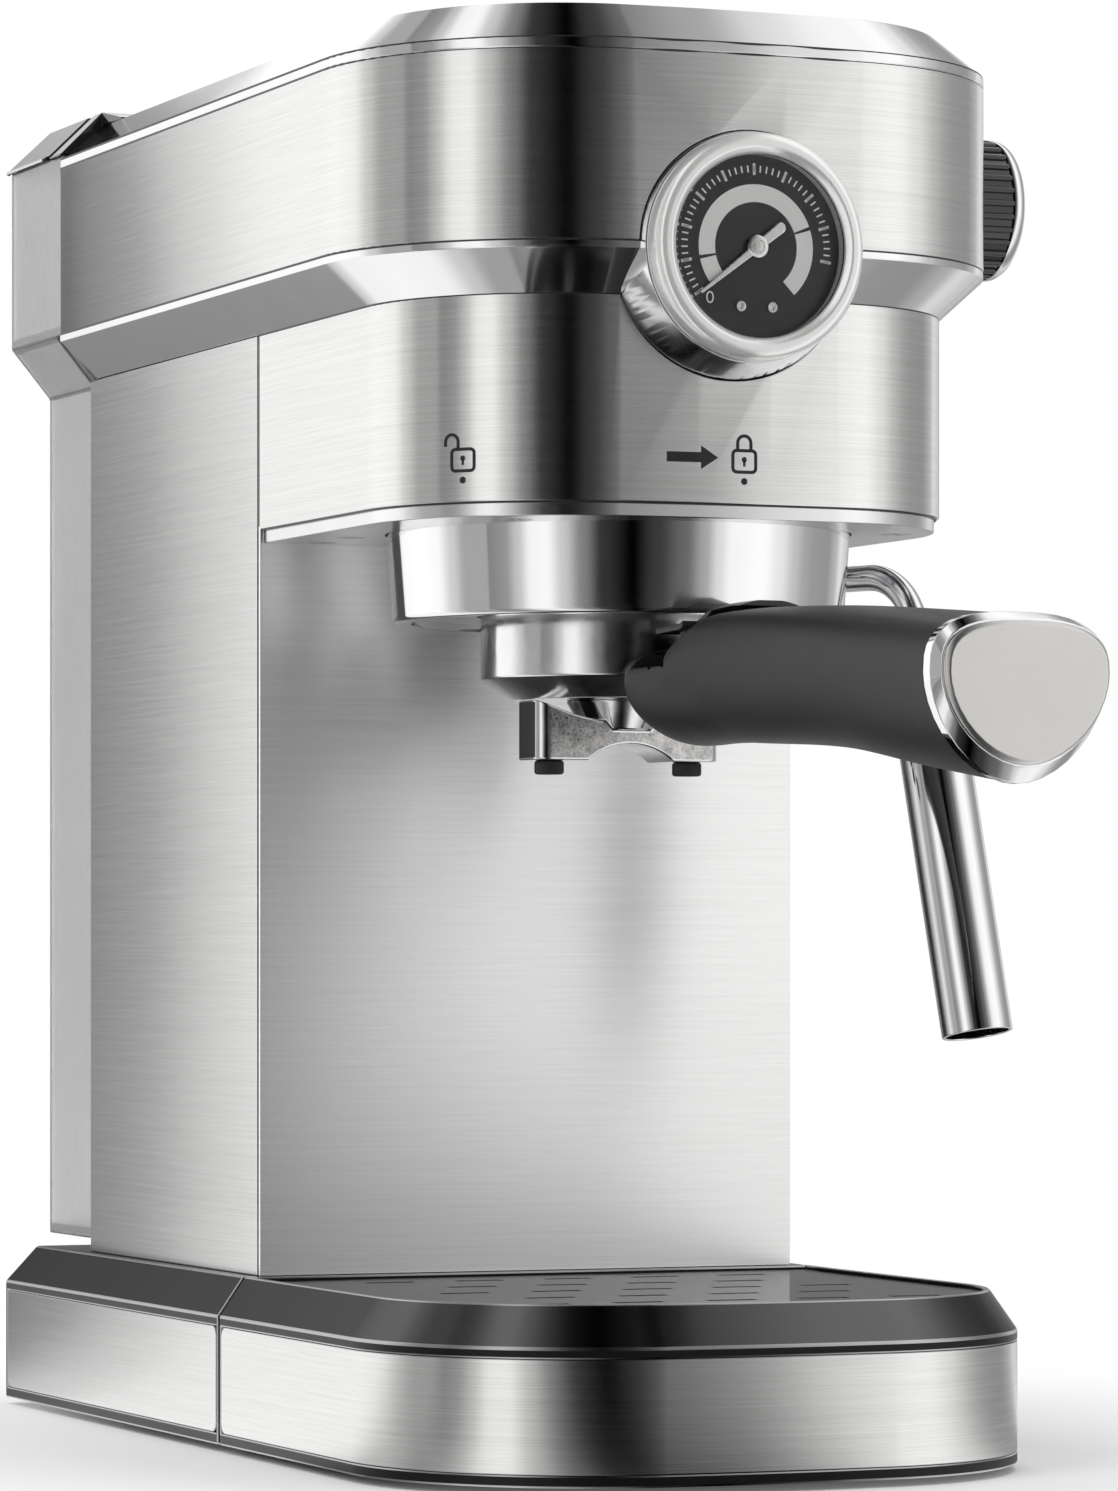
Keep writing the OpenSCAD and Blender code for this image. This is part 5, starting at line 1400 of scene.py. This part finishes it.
    def world(self):
        world = bpy.data.worlds.new("studio")
        bpy.context.scene.world = world
        world.use_nodes = True
        tree = Nodes(world.node_tree)
        sky = world.node_tree.nodes["Background"].inputs
        sky["Color"].default_value = (1, 1, 1, 1)
        level = tree.add("ShaderNodeMapRange",
                         {"Value": self.seen(tree), "To Min": 0.55, "To Max": 1.0})
        tree.feed(sky["Strength"], level["Result"])

    @staticmethod
    def camera():
        wide, high = 1118, 1491
        focal, across, down = 6133.67, 494.34, 944.17      # in pixels of that width and height
        camera = bpy.data.cameras.new("camera")
        camera.sensor_width = 36
        camera.lens = focal * 36 / high
        camera.shift_x = (wide / 2 - across) / high
        camera.shift_y = (down - high / 2) / high
        camera.clip_end = 30
        made = bpy.data.objects.new("camera", camera)
        made.location = (-0.52389, -1.27137, 0.11156)
        made.rotation_euler = (math.radians(90), 0, math.radians(-22.064))
        bpy.context.scene.collection.objects.link(made)
        bpy.context.scene.camera = made


class ESPRESSO_PT_panel(bpy.types.Panel):
    """Steps and settings of the espresso machine"""

    bl_idname = "ESPRESSO_PT_panel"
    bl_label = "Espresso machine"
    bl_space_type = "VIEW_3D"
    bl_region_type = "UI"
    bl_category = "Espresso"

    def draw(self, context):
        layout = self.layout
        for step in STEPS:
            layout.operator(step.bl_idname)
        for group in (context.scene.espresso_sizes, context.scene.espresso_colours):
            for key in group.bl_rna.properties.keys():
                if key not in {"rna_type", "name"}:
                    layout.prop(group, key)


STEPS = (
    ESPRESSO_OT_studio, ESPRESSO_OT_base, ESPRESSO_OT_column, ESPRESSO_OT_head,
    ESPRESSO_OT_lock_marks, ESPRESSO_OT_buttons, ESPRESSO_OT_gauge, ESPRESSO_OT_brew_group,
    ESPRESSO_OT_holder, ESPRESSO_OT_handle, ESPRESSO_OT_steam_knob, ESPRESSO_OT_wand,
    ESPRESSO_OT_tray, ESPRESSO_OT_tank)
CLASSES = (EspressoSizes, EspressoColours, *STEPS, ESPRESSO_PT_panel)


def register():
    for cls in CLASSES:
        bpy.utils.register_class(cls)
    bpy.types.Scene.espresso_sizes = PointerProperty(type=EspressoSizes)
    bpy.types.Scene.espresso_colours = PointerProperty(type=EspressoColours)


def unregister():
    del bpy.types.Scene.espresso_colours
    del bpy.types.Scene.espresso_sizes
    for cls in reversed(CLASSES):
        bpy.utils.unregister_class(cls)


def main():
    register()
    for step in STEPS:
        group, name = step.bl_idname.split(".")
        getattr(getattr(bpy.ops, group), name)()


if __name__ == "__main__":
    main()
